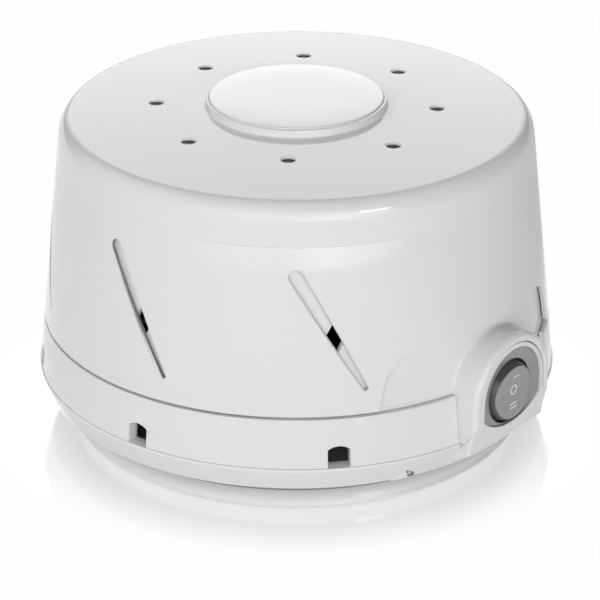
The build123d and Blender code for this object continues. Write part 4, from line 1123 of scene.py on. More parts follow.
# %% Make the rocker
ROCKER_SIDES = 96
ROCKER_FACE_R = 0.8 * ROCKER_R
VALLEY_SOFT = 0.01
RIM_ROUNDS = 20
FACE_SHARES = (0.12, 0.3, 0.5, 0.7, 0.85, 0.95, 1.0)
BALL_STEPS = 8
FACE_BEVEL = 0.22 * MM
FACE_BAND = 0.1 * MM


def rocker_face(z):
    """Distance of the rocker's face in front of the body's axis: a shallow valley across its middle."""
    out = abs(z - SWITCH_Z) / ROCKER_FACE_R
    return ROCKER_FRONT - ROCKER_DIP * (1 - sqrt(out ** 2 + VALLEY_SOFT))


def rocker_rim(turn):
    """Radius at which the face meets the ball, in one direction round the hinge."""
    radius = ROCKER_FACE_R
    for _ in range(RIM_ROUNDS):
        reach = rocker_face(SWITCH_Z + radius * sin(turn)) - ROCKER_HINGE_Y
        radius = sqrt(ROCKER_R ** 2 - reach ** 2)
    return radius


def make_rocker():
    """Rocker: valley face, ball side, flat back and two hinge pins."""
    turns = [2 * pi * k / ROCKER_SIDES for k in range(ROCKER_SIDES)]
    rims = [rocker_rim(turn) for turn in turns]
    rings = []
    for share in FACE_SHARES:
        spots = [(rim * share * cos(turn), rim * share * sin(turn)) for turn, rim in zip(turns, rims)]
        rings.append([(x, -rocker_face(SWITCH_Z + up), SWITCH_Z + up) for x, up in spots])
    last = pi / 2 + asin(ROCKER_TAIL / ROCKER_R)
    for k in range(1, BALL_STEPS + 1):
        row = []
        for turn, rim in zip(turns, rims):
            first = asin(rim / ROCKER_R)
            lean = first + (last - first) * k / BALL_STEPS
            radius = ROCKER_R * sin(lean)
            out = ROCKER_HINGE_Y + ROCKER_R * cos(lean)
            row.append((radius * cos(turn), -out, SWITCH_Z + radius * sin(turn)))
        rings.append(row)
    rocker = new_piece(loft(rings), "rocker_key")
    face_y = FACE_BAND - ROCKER_HINGE_Y - ROCKER_DEEP
    bevel_edges(rocker, lambda a, b: max(a.y, b.y) < face_y, FACE_BEVEL)
    pins = turned(rod(ROCKER_PIN_R, -ROCKER_PIN_END, ROCKER_PIN_END), pi / 2, "Y")
    bmesh.ops.translate(pins, verts=pins.verts[:], vec=HINGE)
    carve(rocker, pins, "UNION")
    shade(rocker)
    return rocker


rocker = make_rocker()
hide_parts("rocker")
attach(rocker, "rocker")
print("rocker stands", round((ROCKER_FRONT - BEZEL_FRONT) / MM, 2), "mm out of its flange")

# %% [markdown]
# ### The rocker's marks
# The three positions are printed on the rocker. Each mark is a very thin solid that follows the valley of
# the face, so it stays a shape of its own in the exported meshes, which a painted mask would not.

# %% Make the rocker's marks
MARK_PROUD = 0.04 * MM
MARK_SUNK = -0.1 * MM
MARK_LINE = 0.4 * MM
MARK_RING_AT = (0.5 * MM, SWITCH_Z + 0.45 * MM)
MARK_RING_RADII = (1.46 * MM, 1.06 * MM)
MARK_RING_POINTS = 48
# Bars of the upper and the lower mark: across and up from the rocker's middle, and how long.
MARK_BARS = (
    (0.9 * MM, 4.4 * MM, 2.5 * MM), (0.1 * MM, -3.5 * MM, 3.0 * MM), (0.1 * MM, -4.55 * MM, 3.0 * MM),
)


def mark(outlines):
    """Thin printed shapes on the rocker's face, from closed (x, z) rings, bridged in pairs or filled."""
    bm = bmesh.new()
    for outer, inner in outlines:
        rows = [(outer, MARK_PROUD), (outer, MARK_SUNK)]
        if inner:
            rows += [(inner, MARK_SUNK), (inner, MARK_PROUD)]
        loops = edge_loops(bm, [[(x, -rocker_face(z) - proud, z) for x, z in ring] for ring, proud in rows])
        for near, far in zip(loops, loops[1:] + (loops[:1] if inner else [])):
            bmesh.ops.bridge_loops(bm, edges=near + far)
        if not inner:
            for loop in loops:
                bmesh.ops.contextual_create(bm, geom=loop)
    bmesh.ops.recalc_face_normals(bm, faces=bm.faces[:])
    return bm


def bar(x, z, long):
    """Outline of a level bar."""
    half, thick = long / 2, MARK_LINE / 2
    return [(x - half, z - thick), (x + half, z - thick), (x + half, z + thick), (x - half, z + thick)]


def make_marks():
    """Marks of the three positions: one bar, a ring, and two bars."""
    upper, *lower = [(bar(x, SWITCH_Z + z, long), None) for x, z, long in MARK_BARS]
    ring = tuple(circle(MARK_RING_AT, radius, MARK_RING_POINTS) for radius in MARK_RING_RADII)
    piece = new_piece(mark([upper, ring, *lower]), "rocker_marks")
    shade(piece)
    return piece


marks = make_marks()
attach(marks, "rocker")
print("marks", len(marks.data.polygons), "faces")

# %% [markdown]
# ## Camera
# A long lens from far away keeps the round body free of perspective stretch. The camera stands at the
# machine's left front and looks down on it, so that the top, two slots, the collar and the switch all show.

# %% Camera
CAMERA_LENS = 175.66
SENSOR_WIDE = 36
CAMERA_BACK = Vector((-0.6964, -0.5741, 0.4305)).normalized()
CAMERA_TARGET = Vector((0.625, -0.758, 31.45)) * MM
CAMERA_DISTANCE = 829.5 * MM


def make_camera():
    """Camera on the machine's left front, looking down on it."""
    data = bpy.data.cameras.new("camera")
    data.lens = CAMERA_LENS
    data.sensor_width = SENSOR_WIDE
    camera = bpy.data.objects.new("camera", data)
    bpy.context.scene.collection.objects.link(camera)
    camera.location = CAMERA_TARGET + CAMERA_BACK * CAMERA_DISTANCE
    camera.rotation_euler = CAMERA_BACK.to_track_quat("Z", "Y").to_euler()
    bpy.context.scene.camera = camera
    return camera


camera = make_camera()
print("camera is", round(CAMERA_DISTANCE / MM), "mm away")

# %% [markdown]
# ## Nodes in few words
# Materials, the floor and the light are all node trees. A few helpers make a node, set its values and link
# it in one line, so that the recipes below read as sums.


# %% Node helpers
def add(tree, kind, settings=None, inputs=None):
    """New node. An input is given a value, or is linked from another node's socket."""
    made = tree.nodes.new("ShaderNode" + kind)
    for name, value in (settings or {}).items():
        setattr(made, name, value)
    for name, value in (inputs or {}).items():
        if isinstance(value, bpy.types.NodeSocket):
            tree.links.new(value, made.inputs[name])
        else:
            made.inputs[name].default_value = value
    return made


def calc(tree, operation, first, second=0.0, third=0.0):
    """Result of one sum on numbers or sockets."""
    return add(tree, "Math", {"operation": operation}, {0: first, 1: second, 2: third}).outputs[0]


def times(tree, first, *others):
    """Product of numbers or sockets."""
    for other in others:
        first = calc(tree, "MULTIPLY", first, other)
    return first


def length_of(tree, vector):
    """Length of a vector."""
    return add(tree, "VectorMath", {"operation": "LENGTH"}, {0: vector}).outputs["Value"]


def split_of(tree, vector):
    """X, Y and Z of a vector."""
    return add(tree, "SeparateXYZ", None, {0: vector}).outputs


def spread(tree, value, low, high, to_low=0.0, to_high=1.0):
    """Value carried over softly from one range to another, and held at its ends."""
    inputs = {"Value": value, "From Min": low, "From Max": high, "To Min": to_low, "To Max": to_high}
    return add(tree, "MapRange", {"interpolation_type": "SMOOTHSTEP"}, inputs).outputs["Result"]


def blend(tree, factor, first, second):
    """Colour between two colours."""
    return add(tree, "Mix", {"data_type": "RGBA"}, {0: factor, 6: first, 7: second}).outputs[2]


def place(tree):
    """Where a point lies on the piece, in metres."""
    return add(tree, "TexCoord").outputs["Object"]


def noise(tree, at, scale, detail=2.0):
    """Cloudy pattern between 0 and 1."""
    return add(tree, "TexNoise", None, {"Vector": at, "Scale": scale, "Detail": detail}).outputs["Fac"]


def grey(level):
    """Neutral colour of one brightness."""
    return (level, level, level, 1)


# %% [markdown]
# ## The floor
# The machine stands on a white gloss floor. To the camera the floor is plain white a little way off, and
# only near the machine does it show a shadow and a mirror image. Light Path tells the camera's rays from
# the others, so the floor looks bright without throwing more light on the machine. Its mirror image in the
# machine's gloss fades towards the right, where a darker room would be reflected.

# %% Floor
FLOOR_HALF = 4.0
FLOOR_NEAR = 60 * MM
FLOOR_FAR = 92 * MM
FLOOR_PAINT = 0.93
MIRROR_ROUGH = 0.03
WHITE_NEAR, WHITE_FAR = 0.74, 0.98      # share of plain white near the machine and far from it
SHINE_NEAR = 0.26
# Where the floor's own mirror image fades, counted along a direction to the right, and what is left of it.
RIGHT_X, RIGHT_Y = 0.95, -0.3
RIGHT_FROM, RIGHT_TO = 0.07, 0.18
FLOOR_RIGHT = 0.3


def make_floor():
    """Large white gloss floor. Its mirror image fades away from the machine."""
    bm = bmesh.new()
    bmesh.ops.create_grid(bm, x_segments=1, y_segments=1, size=FLOOR_HALF)
    floor = new_piece(bm, "floor")
    material = bpy.data.materials.new("floor_white")
    material.use_nodes = True
    tree = material.node_tree
    tree.nodes.clear()
    paint = add(tree, "BsdfDiffuse", None, {"Color": grey(FLOOR_PAINT)}).outputs[0]
    mirror = add(tree, "BsdfAnisotropic", None, {"Color": grey(1.0), "Roughness": MIRROR_ROUGH}).outputs[0]
    glow = add(tree, "Emission", None, {"Color": grey(1.0), "Strength": 1.0}).outputs[0]
    path = add(tree, "LightPath").outputs
    far = length_of(tree, place(tree))
    split = split_of(tree, place(tree))
    right = calc(tree, "ADD", times(tree, split["X"], RIGHT_X), times(tree, split["Y"], RIGHT_Y))
    left_over = spread(tree, right, RIGHT_FROM, RIGHT_TO, 1.0, FLOOR_RIGHT)
    mirrored = times(tree, path["Is Glossy Ray"], left_over)
    indirect = calc(tree, "MAXIMUM", mirrored, path["Is Transmission Ray"])
    seen = calc(tree, "MAXIMUM", path["Is Camera Ray"], indirect)
    white = times(tree, seen, spread(tree, far, FLOOR_NEAR, FLOOR_FAR, WHITE_NEAR, WHITE_FAR))
    under = add(tree, "MixShader", None, {0: white, 1: paint, 2: glow}).outputs[0]
    shine = times(tree, seen, spread(tree, far, FLOOR_NEAR, FLOOR_FAR, SHINE_NEAR, 0.0))
    top = add(tree, "MixShader", None, {0: shine, 1: under, 2: mirror}).outputs[0]
    add(tree, "OutputMaterial", None, {"Surface": top})
    floor.data.materials.append(material)
    return floor


floor = make_floor()
print("floor reaches", FLOOR_HALF, "m each way")

# %% [markdown]
# ## The light
# The light comes from all round: an even grey and a few wide, soft patches, mostly low, as from tall
# softboxes at the left, in front and behind. They are painted on the world, because patches this wide give
# clean shading with little noise. One small lamp adds the long gleam on the cap's shoulder.

# %% Light from all round
# Each row is a soft patch of light: its angle round the machine, its height angle and how wide it is, all in
# degrees, and its strength.
LIGHT_EVEN = 0.12
LIGHT_PATCHES = (
    (-65, 6, 48, 1.85),
    (-24, 3, 32, 2.15),
    (-24, 18, 26, 0.7),
    (130, 22, 34, 2.3),
    (-140, 15, 50, 1.05),
)


def make_world():
    """Studio round the machine: an even grey with soft patches of light."""
    world = bpy.data.worlds.new("studio")
    bpy.context.scene.world = world
    world.use_nodes = True
    tree = world.node_tree
    sky = add(tree, "TexCoord").outputs["Generated"]
    total = LIGHT_EVEN
    for turn, lift, wide, strength in LIGHT_PATCHES:
        axis = (*on_circle(cos(radians(lift)), radians(turn)), sin(radians(lift)))
        along = add(tree, "VectorMath", {"operation": "DOT_PRODUCT"}, {0: sky, 1: axis}).outputs["Value"]
        total = calc(tree, "ADD", total, spread(tree, along, cos(radians(wide)), 1.0, 0.0, strength))
    back = tree.nodes["Background"]
    back.inputs["Color"].default_value = grey(1.0)
    tree.links.new(total, back.inputs["Strength"])


make_world()
bpy.context.scene.view_settings.view_transform = "Standard"
print("patches of light:", len(LIGHT_PATCHES))

# %% Small lamp for the gleam on the shoulder
GLEAM_AT = (-0.217, -0.868, 0.405)
GLEAM_AIM = (0, 0, 0.05)
GLEAM_SIZE = (0.24, 0.06)
GLEAM_POWER = 0.6


def panel(name, at, size, power):
    """Soft panel that faces the machine."""
    data = bpy.data.lights.new(name, "AREA")
    data.shape = "RECTANGLE"
    data.size, data.size_y = size
    data.energy = power
    lamp = bpy.data.objects.new(name, data)
    bpy.context.scene.collection.objects.link(lamp)
    lamp.location = at
    lamp.rotation_euler = (Vector(at) - Vector(GLEAM_AIM)).to_track_quat("Z", "Y").to_euler()
    return lamp


gleam = panel("gleam", GLEAM_AT, GLEAM_SIZE, GLEAM_POWER)
print("gleam lamp at", [round(value, 3) for value in gleam.location])

# %% [markdown]
# ## Finishes
# A finish is a Principled shader fed by a few patterns. The patterns that several finishes share are node
# groups with named inputs: the skin of a moulding, edges that are worn or polished, turning lines, and a
# little dust on what faces up. They give out colours, masks and heights only, and the shader stays in the
# material.

# %% Shared patterns
# Scales of the patterns, in cells to a metre.
SLOW_SCALE = 32.0
RIPPLE_SCALE = 90.0
SPECK_SCALE = 420.0
WEAR_SCALE = 700.0
DUST_SCALE = 260.0
STREAK_SCALE = 4000.0
SPECK_SHARE = 0.3
EDGE_SAMPLES = 4
EDGE_FROM, EDGE_TO = 0.995, 0.8     # agreement of the bevelled with the true normal
WEAR_PATCHES = (0.3, 0.6)
DUST_UP = (0.3, 1.0)
DUST_PATCHES = (0.35, 0.7)


def new_group(name, given, made):
    """Empty node group with its sockets. Returns the tree, its inputs, and its output node's inputs."""
    tree = bpy.data.node_groups.new(name, "ShaderNodeTree")
    for label, kind, value in given:
        socket = tree.interface.new_socket(name=label, in_out="INPUT", socket_type="NodeSocket" + kind)
        socket.default_value = value
    for label, kind in made:
        tree.interface.new_socket(name=label, in_out="OUTPUT", socket_type="NodeSocket" + kind)
    return tree, tree.nodes.new("NodeGroupInput").outputs, tree.nodes.new("NodeGroupOutput").inputs


def make_skin():
    """Skin of a moulding: a slow tint, patches of duller gloss, a soft ripple and a fine grain."""
    given = (
        ("Colour", "Color", grey(0.8)), ("Tint", "Float", 0.03), ("Roughness", "Float", 0.2),
        ("Uneven", "Float", 0.05), ("Grain", "Float", 1500.0), ("Depth", "Float", 0.5),
    )
    made = (("Colour", "Color"), ("Roughness", "Float"), ("Height", "Float"))
    tree, start, end = new_group("moulded skin", given, made)
    at = place(tree)
    slow = noise(tree, at, SLOW_SCALE, 3.0)
    fine = noise(tree, at, start["Grain"], 2.0)
    speck = noise(tree, at, SPECK_SCALE, 1.0)
    cloud = calc(tree, "ADD", slow, times(tree, speck, SPECK_SHARE))
    level = calc(tree, "SUBTRACT", 1.0, times(tree, start["Tint"], cloud))
    tinted = add(tree, "VectorMath", {"operation": "SCALE"}, {0: start["Colour"], "Scale": level}).outputs[0]
    uneven = times(tree, start["Uneven"], calc(tree, "SUBTRACT", slow, 0.5))
    ripple = noise(tree, at, RIPPLE_SCALE, 1.0)
    tree.links.new(tinted, end["Colour"])
    tree.links.new(calc(tree, "ADD", start["Roughness"], uneven), end["Roughness"])
    tree.links.new(calc(tree, "ADD", times(tree, fine, start["Depth"]), ripple), end["Height"])
    return tree


def make_edges():
    """Mask of a piece's edges, broken up as by handling."""
    given = (("Width", "Float", 0.4 * MM), ("Amount", "Float", 1.0))
    tree, start, end = new_group("worn edges", given, (("Mask", "Float"),))
    bent = add(tree, "Bevel", {"samples": EDGE_SAMPLES}, {"Radius": start["Width"]}).outputs[0]
    flat = add(tree, "NewGeometry").outputs["Normal"]
    same = add(tree, "VectorMath", {"operation": "DOT_PRODUCT"}, {0: bent, 1: flat}).outputs["Value"]
    broken = spread(tree, noise(tree, place(tree), WEAR_SCALE, 3.0), *WEAR_PATCHES)
    tree.links.new(times(tree, spread(tree, same, EDGE_FROM, EDGE_TO), broken, start["Amount"]), end["Mask"])
    return tree


def make_turning():
    """Fine lines left by a lathe round the upright axis, as a height, and the streaks that go with them."""
    given = (("Vector", "Vector", (0, 0, 0)), ("Lines", "Float", 2000.0))
    tree, start, end = new_group("turning lines", given, (("Height", "Float"), ("Streak", "Float")))
    settings = {"wave_type": "RINGS", "rings_direction": "Z"}
    inputs = {"Vector": start["Vector"], "Scale": start["Lines"], "Distortion": 1.5, "Detail": 2.0}
    rings = add(tree, "TexWave", settings, inputs).outputs["Fac"]
    high = times(tree, split_of(tree, start["Vector"])["Z"], STREAK_SCALE)
    stretched = add(tree, "CombineXYZ", None, {"X": high}).outputs[0]
    tree.links.new(rings, end["Height"])
    tree.links.new(noise(tree, stretched, 1.0, 2.0), end["Streak"])
    return tree


def make_dust():
    """Mask of the dust that lies on what faces up."""
    tree, start, end = new_group("settled dust", (("Amount", "Float", 0.2),), (("Mask", "Float"),))
    up = split_of(tree, add(tree, "TexCoord").outputs["Normal"])["Z"]
    patchy = spread(tree, noise(tree, place(tree), DUST_SCALE, 4.0), *DUST_PATCHES)
    tree.links.new(times(tree, spread(tree, up, *DUST_UP), patchy, start["Amount"]), end["Mask"])
    return tree


skin_group = make_skin()
edge_group = make_edges()
turning_group = make_turning()
dust_group = make_dust()
print("shared patterns", [g.name for g in bpy.data.node_groups])

# %% Finish helpers
DUST = (0.42, 0.40, 0.37, 1)
METAL_WEAR = 0.6
METAL_EDGE = 0.25 * MM
METAL_GRAIN_SHARE = 0.3         # of the skin's height under turning lines
METAL_STREAK = 0.08


def new_finish(name):
    """Material with its tree and its Principled shader."""
    material = bpy.data.materials.new(name)
    material.use_nodes = True
    return material, material.node_tree, material.node_tree.nodes["Principled BSDF"]


def use(tree, shared, **inputs):
    """Shared pattern placed in a material, with its own values."""
    return add(tree, "Group", {"node_tree": shared}, inputs).outputs


def connect(tree, shader, colour, roughness, height, depth):
    """Links what a finish varies into its shader. The height becomes a bump of a given depth."""
    tree.links.new(colour, shader.inputs["Base Color"])
    tree.links.new(roughness, shader.inputs["Roughness"])
    bump = add(tree, "Bump", None, {"Strength": 1.0, "Distance": depth, "Height": height})
    tree.links.new(bump.outputs[0], shader.inputs["Normal"])


def plastic(name, colour, rough, tint=0.03, uneven=0.05, grain=1500.0, fine=0.3, depth=0.004 * MM, dust=0.0):
    """Moulded plastic or rubber, with dust where it faces up."""
    material, tree, shader = new_finish(name)
    skin = use(
        tree, skin_group, Colour=colour, Tint=tint, Roughness=rough, Uneven=uneven, Grain=grain, Depth=fine,
    )
    top = skin["Colour"]
    if dust:
        top = blend(tree, use(tree, dust_group, Amount=dust)["Mask"], top, DUST)
    connect(tree, shader, top, skin["Roughness"], skin["Height"], depth)
    return material


def metal(name, colour, rough, bright, lines=None, depth=0.003 * MM):
    """Machined or pressed metal, brighter along its edges, with turning lines if it was turned."""
    material, tree, shader = new_finish(name)
    shader.inputs["Metallic"].default_value = 1.0
    skin = use(
        tree, skin_group, Colour=colour, Tint=0.25, Roughness=rough, Uneven=0.2, Grain=2600.0, Depth=0.6,
    )
    edge = use(tree, edge_group, Width=METAL_EDGE, Amount=METAL_WEAR)["Mask"]
    dull = skin["Roughness"]
    height = skin["Height"]
    if lines:
        lathe = use(tree, turning_group, Vector=place(tree), Lines=lines)
        height = calc(tree, "ADD", times(tree, height, METAL_GRAIN_SHARE), lathe["Height"])
        dull = calc(tree, "ADD", dull, times(tree, lathe["Streak"], METAL_STREAK))
    connect(tree, shader, blend(tree, edge, skin["Colour"], bright), dull, height, depth)
    return material


# %% [markdown]
# ### White mouldings
# The cap, the collar, the housing and the base are moulded in one glossy white plastic. The cap and the base
# also get painted shade: darker colour in the depth of the slots, low in the top holes, and in the crease
# under the lip and down the foot ring. Each painted shade mask is made from a point's own place on the piece,
# so it stays put from every side.

# %% White mouldings
WHITE = grey(0.80)
WHITE_SKIN = {
    "Colour": WHITE, "Tint": 0.015, "Roughness": 0.06, "Uneven": 0.03, "Grain": 900.0, "Depth": 0.12,
}
WHITE_BUMP = 0.0015 * MM
# Ranges of the painted shade in the cap's slots and top holes.
SLOT_SHADE = (0.3 * MM, 0.8 * MM)        # starts and is full, counted in from the wall's surface
SLOT_SHADE_END = (1.28 * MM, 1.2 * MM)
SLOT_SHADE_SIDE = (37.5 * MM, 38.5 * MM)
SLOT_SHADE_BACK = (-5.0 * MM, 0.0)
SLOT_SHADE_TOP = (75.0 * MM, 73.0 * MM)
SLOT_SHADE_FRONT = (-45.0 * MM, -25.0 * MM, 0.3, 0.85)
VENT_SHADE_IN = (36.2 * MM, 36.4 * MM)
VENT_SHADE_OUT = (41.0 * MM, 40.8 * MM)
VENT_SHADE_TOP = (90.2 * MM, 89.95 * MM)
VENT_SHADE_LOW = (89.45 * MM, 89.5 * MM)
VENT_SHADE = 0.9
# Ranges of the painted shade in the crease under the base's lip and down its foot ring.
CREASE_IN = (LIP_LOW_R - 0.5 * MM, LIP_LOW_R - 1.2 * MM)
CREASE_TOP = (FLOOR_TOP, FLOOR_LOW + 0.5 * MM)
CREASE_LINE = (4.5 * MM, 5.5 * MM, 0.0, 0.85)
RING_SHADE = (0.8 * MM, 5.5 * MM, 0.0, 0.34)


# %% Painted shade of the cap and the base
def orbit_of(tree, split):
    """Distance from the upright axis."""
    return length_of(tree, add(tree, "CombineXYZ", None, {"X": split["X"], "Y": split["Y"]}).outputs[0])


def bell_painted_shade(tree):
    """Mask of painted shade in the depth of the cap's slots and low in its top holes."""
    split = split_of(tree, place(tree))
    orbit = orbit_of(tree, split)
    wall = calc(tree, "MULTIPLY_ADD", split["Z"], -tan(TAPER), BODY_R + COLLAR_LOW * tan(TAPER))
    deep = calc(tree, "SUBTRACT", wall, orbit)
    # Painted shade deep in the slots, weaker towards the front, and low in the top holes.
    inside = times(tree, spread(tree, deep, *SLOT_SHADE), spread(tree, deep, *SLOT_SHADE_END))
    beside = spread(tree, calc(tree, "ABSOLUTE", split["X"]), *SLOT_SHADE_SIDE)
    where = calc(tree, "MAXIMUM", beside, spread(tree, split["Y"], *SLOT_SHADE_BACK))
    amount = times(tree, spread(tree, split["Z"], *SLOT_SHADE_TOP), spread(tree, split["Y"], *SLOT_SHADE_FRONT))
    ring = times(tree, spread(tree, orbit, *VENT_SHADE_IN), spread(tree, orbit, *VENT_SHADE_OUT))
    low = times(tree, spread(tree, split["Z"], *VENT_SHADE_TOP), spread(tree, split["Z"], *VENT_SHADE_LOW))
    return calc(tree, "MAXIMUM", times(tree, inside, where, amount), times(tree, ring, low, VENT_SHADE))


def tray_painted_shade(tree):
    """Mask of painted shade: a dark line in the crease under the base's lip, and darkening that thins down
    the ring.
    """
    split = split_of(tree, place(tree))
    inside = spread(tree, orbit_of(tree, split), *CREASE_IN)
    below = spread(tree, split["Z"], *CREASE_TOP)
    line = spread(tree, split["Z"], *CREASE_LINE)
    return times(tree, inside, below, calc(tree, "MAXIMUM", line, spread(tree, split["Z"], *RING_SHADE)))


# %% Make the white finishes
def moulding(name, painted_shade=None, dark=0.0):
    """Gloss white moulding. The optional mask function paints shade on it, and dark is how bright that
    painted shade is.
    """
    material, tree, shader = new_finish(name)
    skin = use(tree, skin_group, **WHITE_SKIN)
    colour = blend(tree, painted_shade(tree), skin["Colour"], grey(dark)) if painted_shade else skin["Colour"]
    connect(tree, shader, colour, skin["Roughness"], skin["Height"], WHITE_BUMP)
    return material


def make_lacquer():
    """Clear lacquer over the bare white disc."""
    material, tree, shader = new_finish("white_lacquer")
    skin = use(tree, skin_group, Colour=WHITE, Tint=0.02, Roughness=0.3, Uneven=0.06, Grain=2200.0, Depth=0.4)
    shader.inputs["Coat Weight"].default_value = 0.6
    shader.inputs["Coat Roughness"].default_value = 0.06
    connect(tree, shader, skin["Colour"], skin["Roughness"], skin["Height"], 0.001 * MM)
    return material


def finish(piece, material):
    """Gives a whole piece one finish."""
    piece.data.materials.clear()
    piece.data.materials.append(material)


shell = moulding("white_moulding")
finish(collar, shell)
finish(housing, shell)
# The cap's mask paints shade, towards grey 0.06, in its slots and top holes.
finish(cap, moulding("white_bell", bell_painted_shade, 0.06))
# The base's mask paints shade, towards grey 0.08, in the crease under its lip and down its ring.
finish(base, moulding("white_tray", tray_painted_shade, 0.08))
finish(badge, make_lacquer())
print("white pieces finished")

# %% [markdown]
# ### Switch finishes
# The rocker and its flange are satin grey plastic with a fine spark-eroded grain. The rocker's ball-shaped
# side is smoother than its face, and painted darker as shade. It is told from the face by its distance from
# the hinge.

# %% Switch finishes
BALL_SIDE = (ROCKER_R - 0.14 * MM, ROCKER_R - 0.03 * MM)
BALL_SMOOTHER = 0.18


def make_key_finish():
    """Satin grey of the rocker. Its ball-shaped side is smoother than its face, and painted darker as shade.
    """
    material, tree, shader = new_finish("switch_key")
    skin = use(
        tree, skin_group, Colour=grey(0.33), Tint=0.05, Roughness=0.38, Uneven=0.08, Grain=3200.0, Depth=0.8,
    )
    from_hinge = add(tree, "Mapping", None, {"Vector": place(tree), "Location": tuple(-HINGE)}).outputs[0]
    side = spread(tree, length_of(tree, from_hinge), *BALL_SIDE)
    # The ball side's darker grey 0.07 is painted shade; its lower roughness is the real finish.
    colour = blend(tree, side, skin["Colour"], grey(0.07))
    dull = calc(tree, "SUBTRACT", skin["Roughness"], times(tree, side, BALL_SMOOTHER))
    connect(tree, shader, colour, dull, skin["Height"], 0.006 * MM)
    return material


finish(rocker, make_key_finish())
satin = {"tint": 0.05, "uneven": 0.08, "grain": 3200.0, "fine": 0.8, "depth": 0.006 * MM}
finish(bezel, plastic("switch_flange", grey(0.30), 0.24, **satin))
finish(marks, plastic("mark_print", grey(0.82), 0.45, tint=0.06, grain=5000.0, fine=1.0))
print("switch finished")

# %% [markdown]
# ### Finishes of the works
# The inner works keep the meshes of the construction model and only get finishes: blued steel sheets,
# enamelled wire, oily bronze, zinc, nylon and rubber. A wave texture makes regular lines cheaply, such as
# stacked sheets or turns of wire, at their real pitch.

# %% Works' finishes
BAND = 0.314            # a wave texture of scale 1 has a band about every 0.314 m
SHEET_PITCH = 0.5 * MM
WIRE_PITCH = 0.32 * MM
SHEET_RELIEF = 6.0
SHEET_UPRIGHT = (0.7, 0.3)
WIRE_GROOVE = (0.0, 0.55)
PORE_SCALE = 4200.0
PORE_EDGE = (0.1, 0.3)
BLUED = (0.20, 0.21, 0.24, 1)
CUT_STEEL = (0.42, 0.42, 0.43, 1)
ENAMEL = (0.34, 0.10, 0.035, 1)
ENAMEL_SHADE = (0.07, 0.018, 0.008, 1)
BRONZE = (0.42, 0.27, 0.11, 1)
PORE = (0.05, 0.03, 0.015, 1)


def make_sheets():
    """Core of thin steel sheets: its edges show as a stack of lines, its faces are blued and mottled."""
    material, tree, shader = new_finish("core_sheets")
    shader.inputs["Metallic"].default_value = 1.0
    skin = use(tree, skin_group, Colour=BLUED, Tint=0.5, Roughness=0.42, Uneven=0.25, Grain=1800.0, Depth=0.5)
    facing = split_of(tree, add(tree, "TexCoord").outputs["Normal"])["Z"]
    upright = spread(tree, calc(tree, "ABSOLUTE", facing), *SHEET_UPRIGHT)
    inputs = {"Vector": place(tree), "Scale": BAND / SHEET_PITCH, "Distortion": 0.3}
    stack = times(tree, add(tree, "TexWave", {"bands_direction": "Z"}, inputs).outputs["Fac"], upright)
    colour = blend(tree, stack, skin["Colour"], CUT_STEEL)
    height = calc(tree, "ADD", skin["Height"], times(tree, stack, SHEET_RELIEF))
    connect(tree, shader, colour, skin["Roughness"], height, 0.012 * MM)
    return material


def make_wires():
    """Winding of enamelled wire: turn beside turn along the coil, with painted shade in the grooves between
    turns.
    """
    material, tree, shader = new_finish("coil_wire")
    skin = use(
        tree, skin_group, Colour=ENAMEL, Tint=0.35, Roughness=0.24, Uneven=0.15, Grain=2400.0, Depth=0.3,
    )
    inputs = {"Vector": place(tree), "Scale": BAND / WIRE_PITCH, "Distortion": 0.6, "Detail": 1.0}
    wave = add(tree, "TexWave", {"bands_direction": "Y"}, inputs).outputs["Fac"]
    groove = spread(tree, wave, *WIRE_GROOVE)
    # ENAMEL_SHADE, a darker copy of the enamel, is painted shade in the grooves between turns.
    colour = blend(tree, groove, ENAMEL_SHADE, skin["Colour"])
    shader.inputs["Coat Weight"].default_value = 0.6
    connect(tree, shader, colour, skin["Roughness"], groove, 0.09 * MM)
    return material


def make_bronze():
    """Sintered bronze, oily and full of small pores."""
    material, tree, shader = new_finish("sintered_bronze")
    shader.inputs["Metallic"].default_value = 1.0
    skin = use(tree, skin_group, Colour=BRONZE, Tint=0.3, Roughness=0.4, Uneven=0.2, Grain=2500.0, Depth=0.5)
    cells = add(tree, "TexVoronoi", None, {"Vector": place(tree), "Scale": PORE_SCALE}).outputs["Distance"]
    pores = spread(tree, cells, *PORE_EDGE)
    colour = blend(tree, pores, PORE, skin["Colour"])
    connect(tree, shader, colour, skin["Roughness"], pores, 0.02 * MM)
    return material


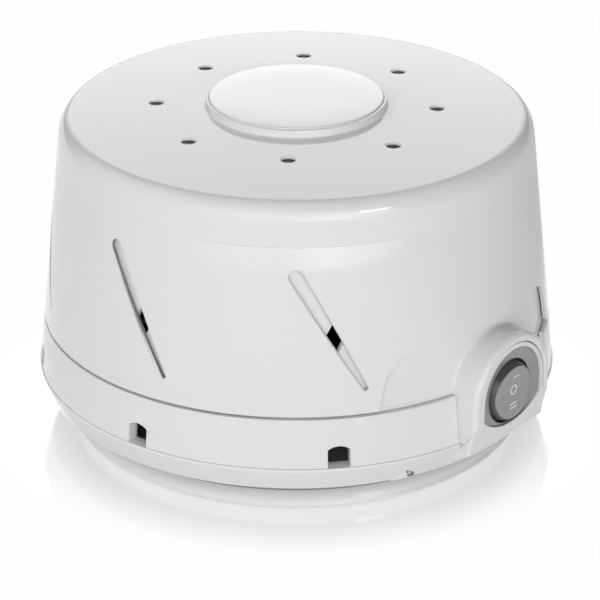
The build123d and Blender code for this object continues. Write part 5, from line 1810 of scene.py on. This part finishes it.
# %% Finish the works
ZINC = (0.56, 0.56, 0.54, 1)
DULL_ZINC = (0.5, 0.5, 0.46, 1)
BRACKET_STEEL = (0.42, 0.42, 0.40, 1)
coarse = {"tint": 0.2, "uneven": 0.15, "depth": 0.01 * MM}
rubber = {"tint": 0.3, "grain": 2200.0}
works = {
    "switch_body": plastic("switch_barrel", grey(0.025), 0.42, grain=2600.0, fine=1.0, **coarse),
    "switch_tabs": metal("brass_blade", (0.55, 0.38, 0.13, 1), 0.26, (0.75, 0.58, 0.28, 1)),
    "push_on_shoes": plastic("sleeve_red", (0.42, 0.03, 0.02, 1), 0.32, tint=0.15, dust=0.1),
    "flex_gland": plastic(
        "gland_nylon", grey(0.68), 0.36, tint=0.05, uneven=0.1, grain=2600.0, fine=0.8, depth=0.008 * MM,
    ),
    "feet": plastic(
        "foot_rubber", grey(0.03), 0.78, uneven=0.2, fine=2.0, depth=0.03 * MM, dust=0.1, **rubber,
    ),
    "case_screws": metal("screw_zinc", ZINC, 0.3, grey(0.8)),
    "cap_pivot_screw": metal("pivot_zinc", ZINC, 0.28, grey(0.8), lines=2100.0),
    "cap_pivot_washer": plastic("washer_nylon", (0.74, 0.71, 0.62, 1), 0.4, tint=0.08, dust=0.05),
    "stator_core": make_sheets(),
    "shading_rings": metal("shading_copper", (0.62, 0.24, 0.11, 1), 0.3, (0.85, 0.48, 0.28, 1)),
    "coil_bobbin": plastic("bobbin_nylon", (0.66, 0.63, 0.54, 1), 0.42, tint=0.1, dust=0.15),
    "coil_winding": make_wires(),
    "upper_bracket": metal("bracket_upper", BRACKET_STEEL, 0.34, grey(0.72)),
    "lower_bracket": metal("bracket_lower", BRACKET_STEEL, 0.34, grey(0.72)),
    "upper_bearing": make_bronze(),
    "lower_bearing": make_bronze(),
    "motor_bolts": metal("bolt_zinc", DULL_ZINC, 0.32, grey(0.78)),
    "motor_grommets": plastic(
        "grommet_rubber", grey(0.02), 0.7, fine=1.5, depth=0.02 * MM, dust=0.15, **rubber,
    ),
    "mount_screws": metal("mount_zinc", DULL_ZINC, 0.32, grey(0.78)),
    "motor_leads": plastic("lead_sleeve", grey(0.03), 0.36, tint=0.3, dust=0.1),
    "motor_shaft": metal("ground_shaft", (0.55, 0.55, 0.56, 1), 0.14, grey(0.8), lines=2600.0),
    "rotor": metal("rotor_alloy", (0.42, 0.42, 0.43, 1), 0.36, grey(0.75), lines=900.0, depth=0.008 * MM),
    "thrust_washers": plastic("thrust_nylon", (0.16, 0.08, 0.04, 1), 0.4, tint=0.2),
    "fan_wheel": plastic("fan_plastic", grey(0.075), 0.42, grain=2000.0, fine=0.6, dust=0.3, **coarse),
    "fan_clip": metal("spring_clip", (0.30, 0.29, 0.28, 1), 0.3, grey(0.6)),
}
for node, material in works.items():
    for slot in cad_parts[node].material_slots:
        slot.material = material
print("works finished:", len(works), "pieces")
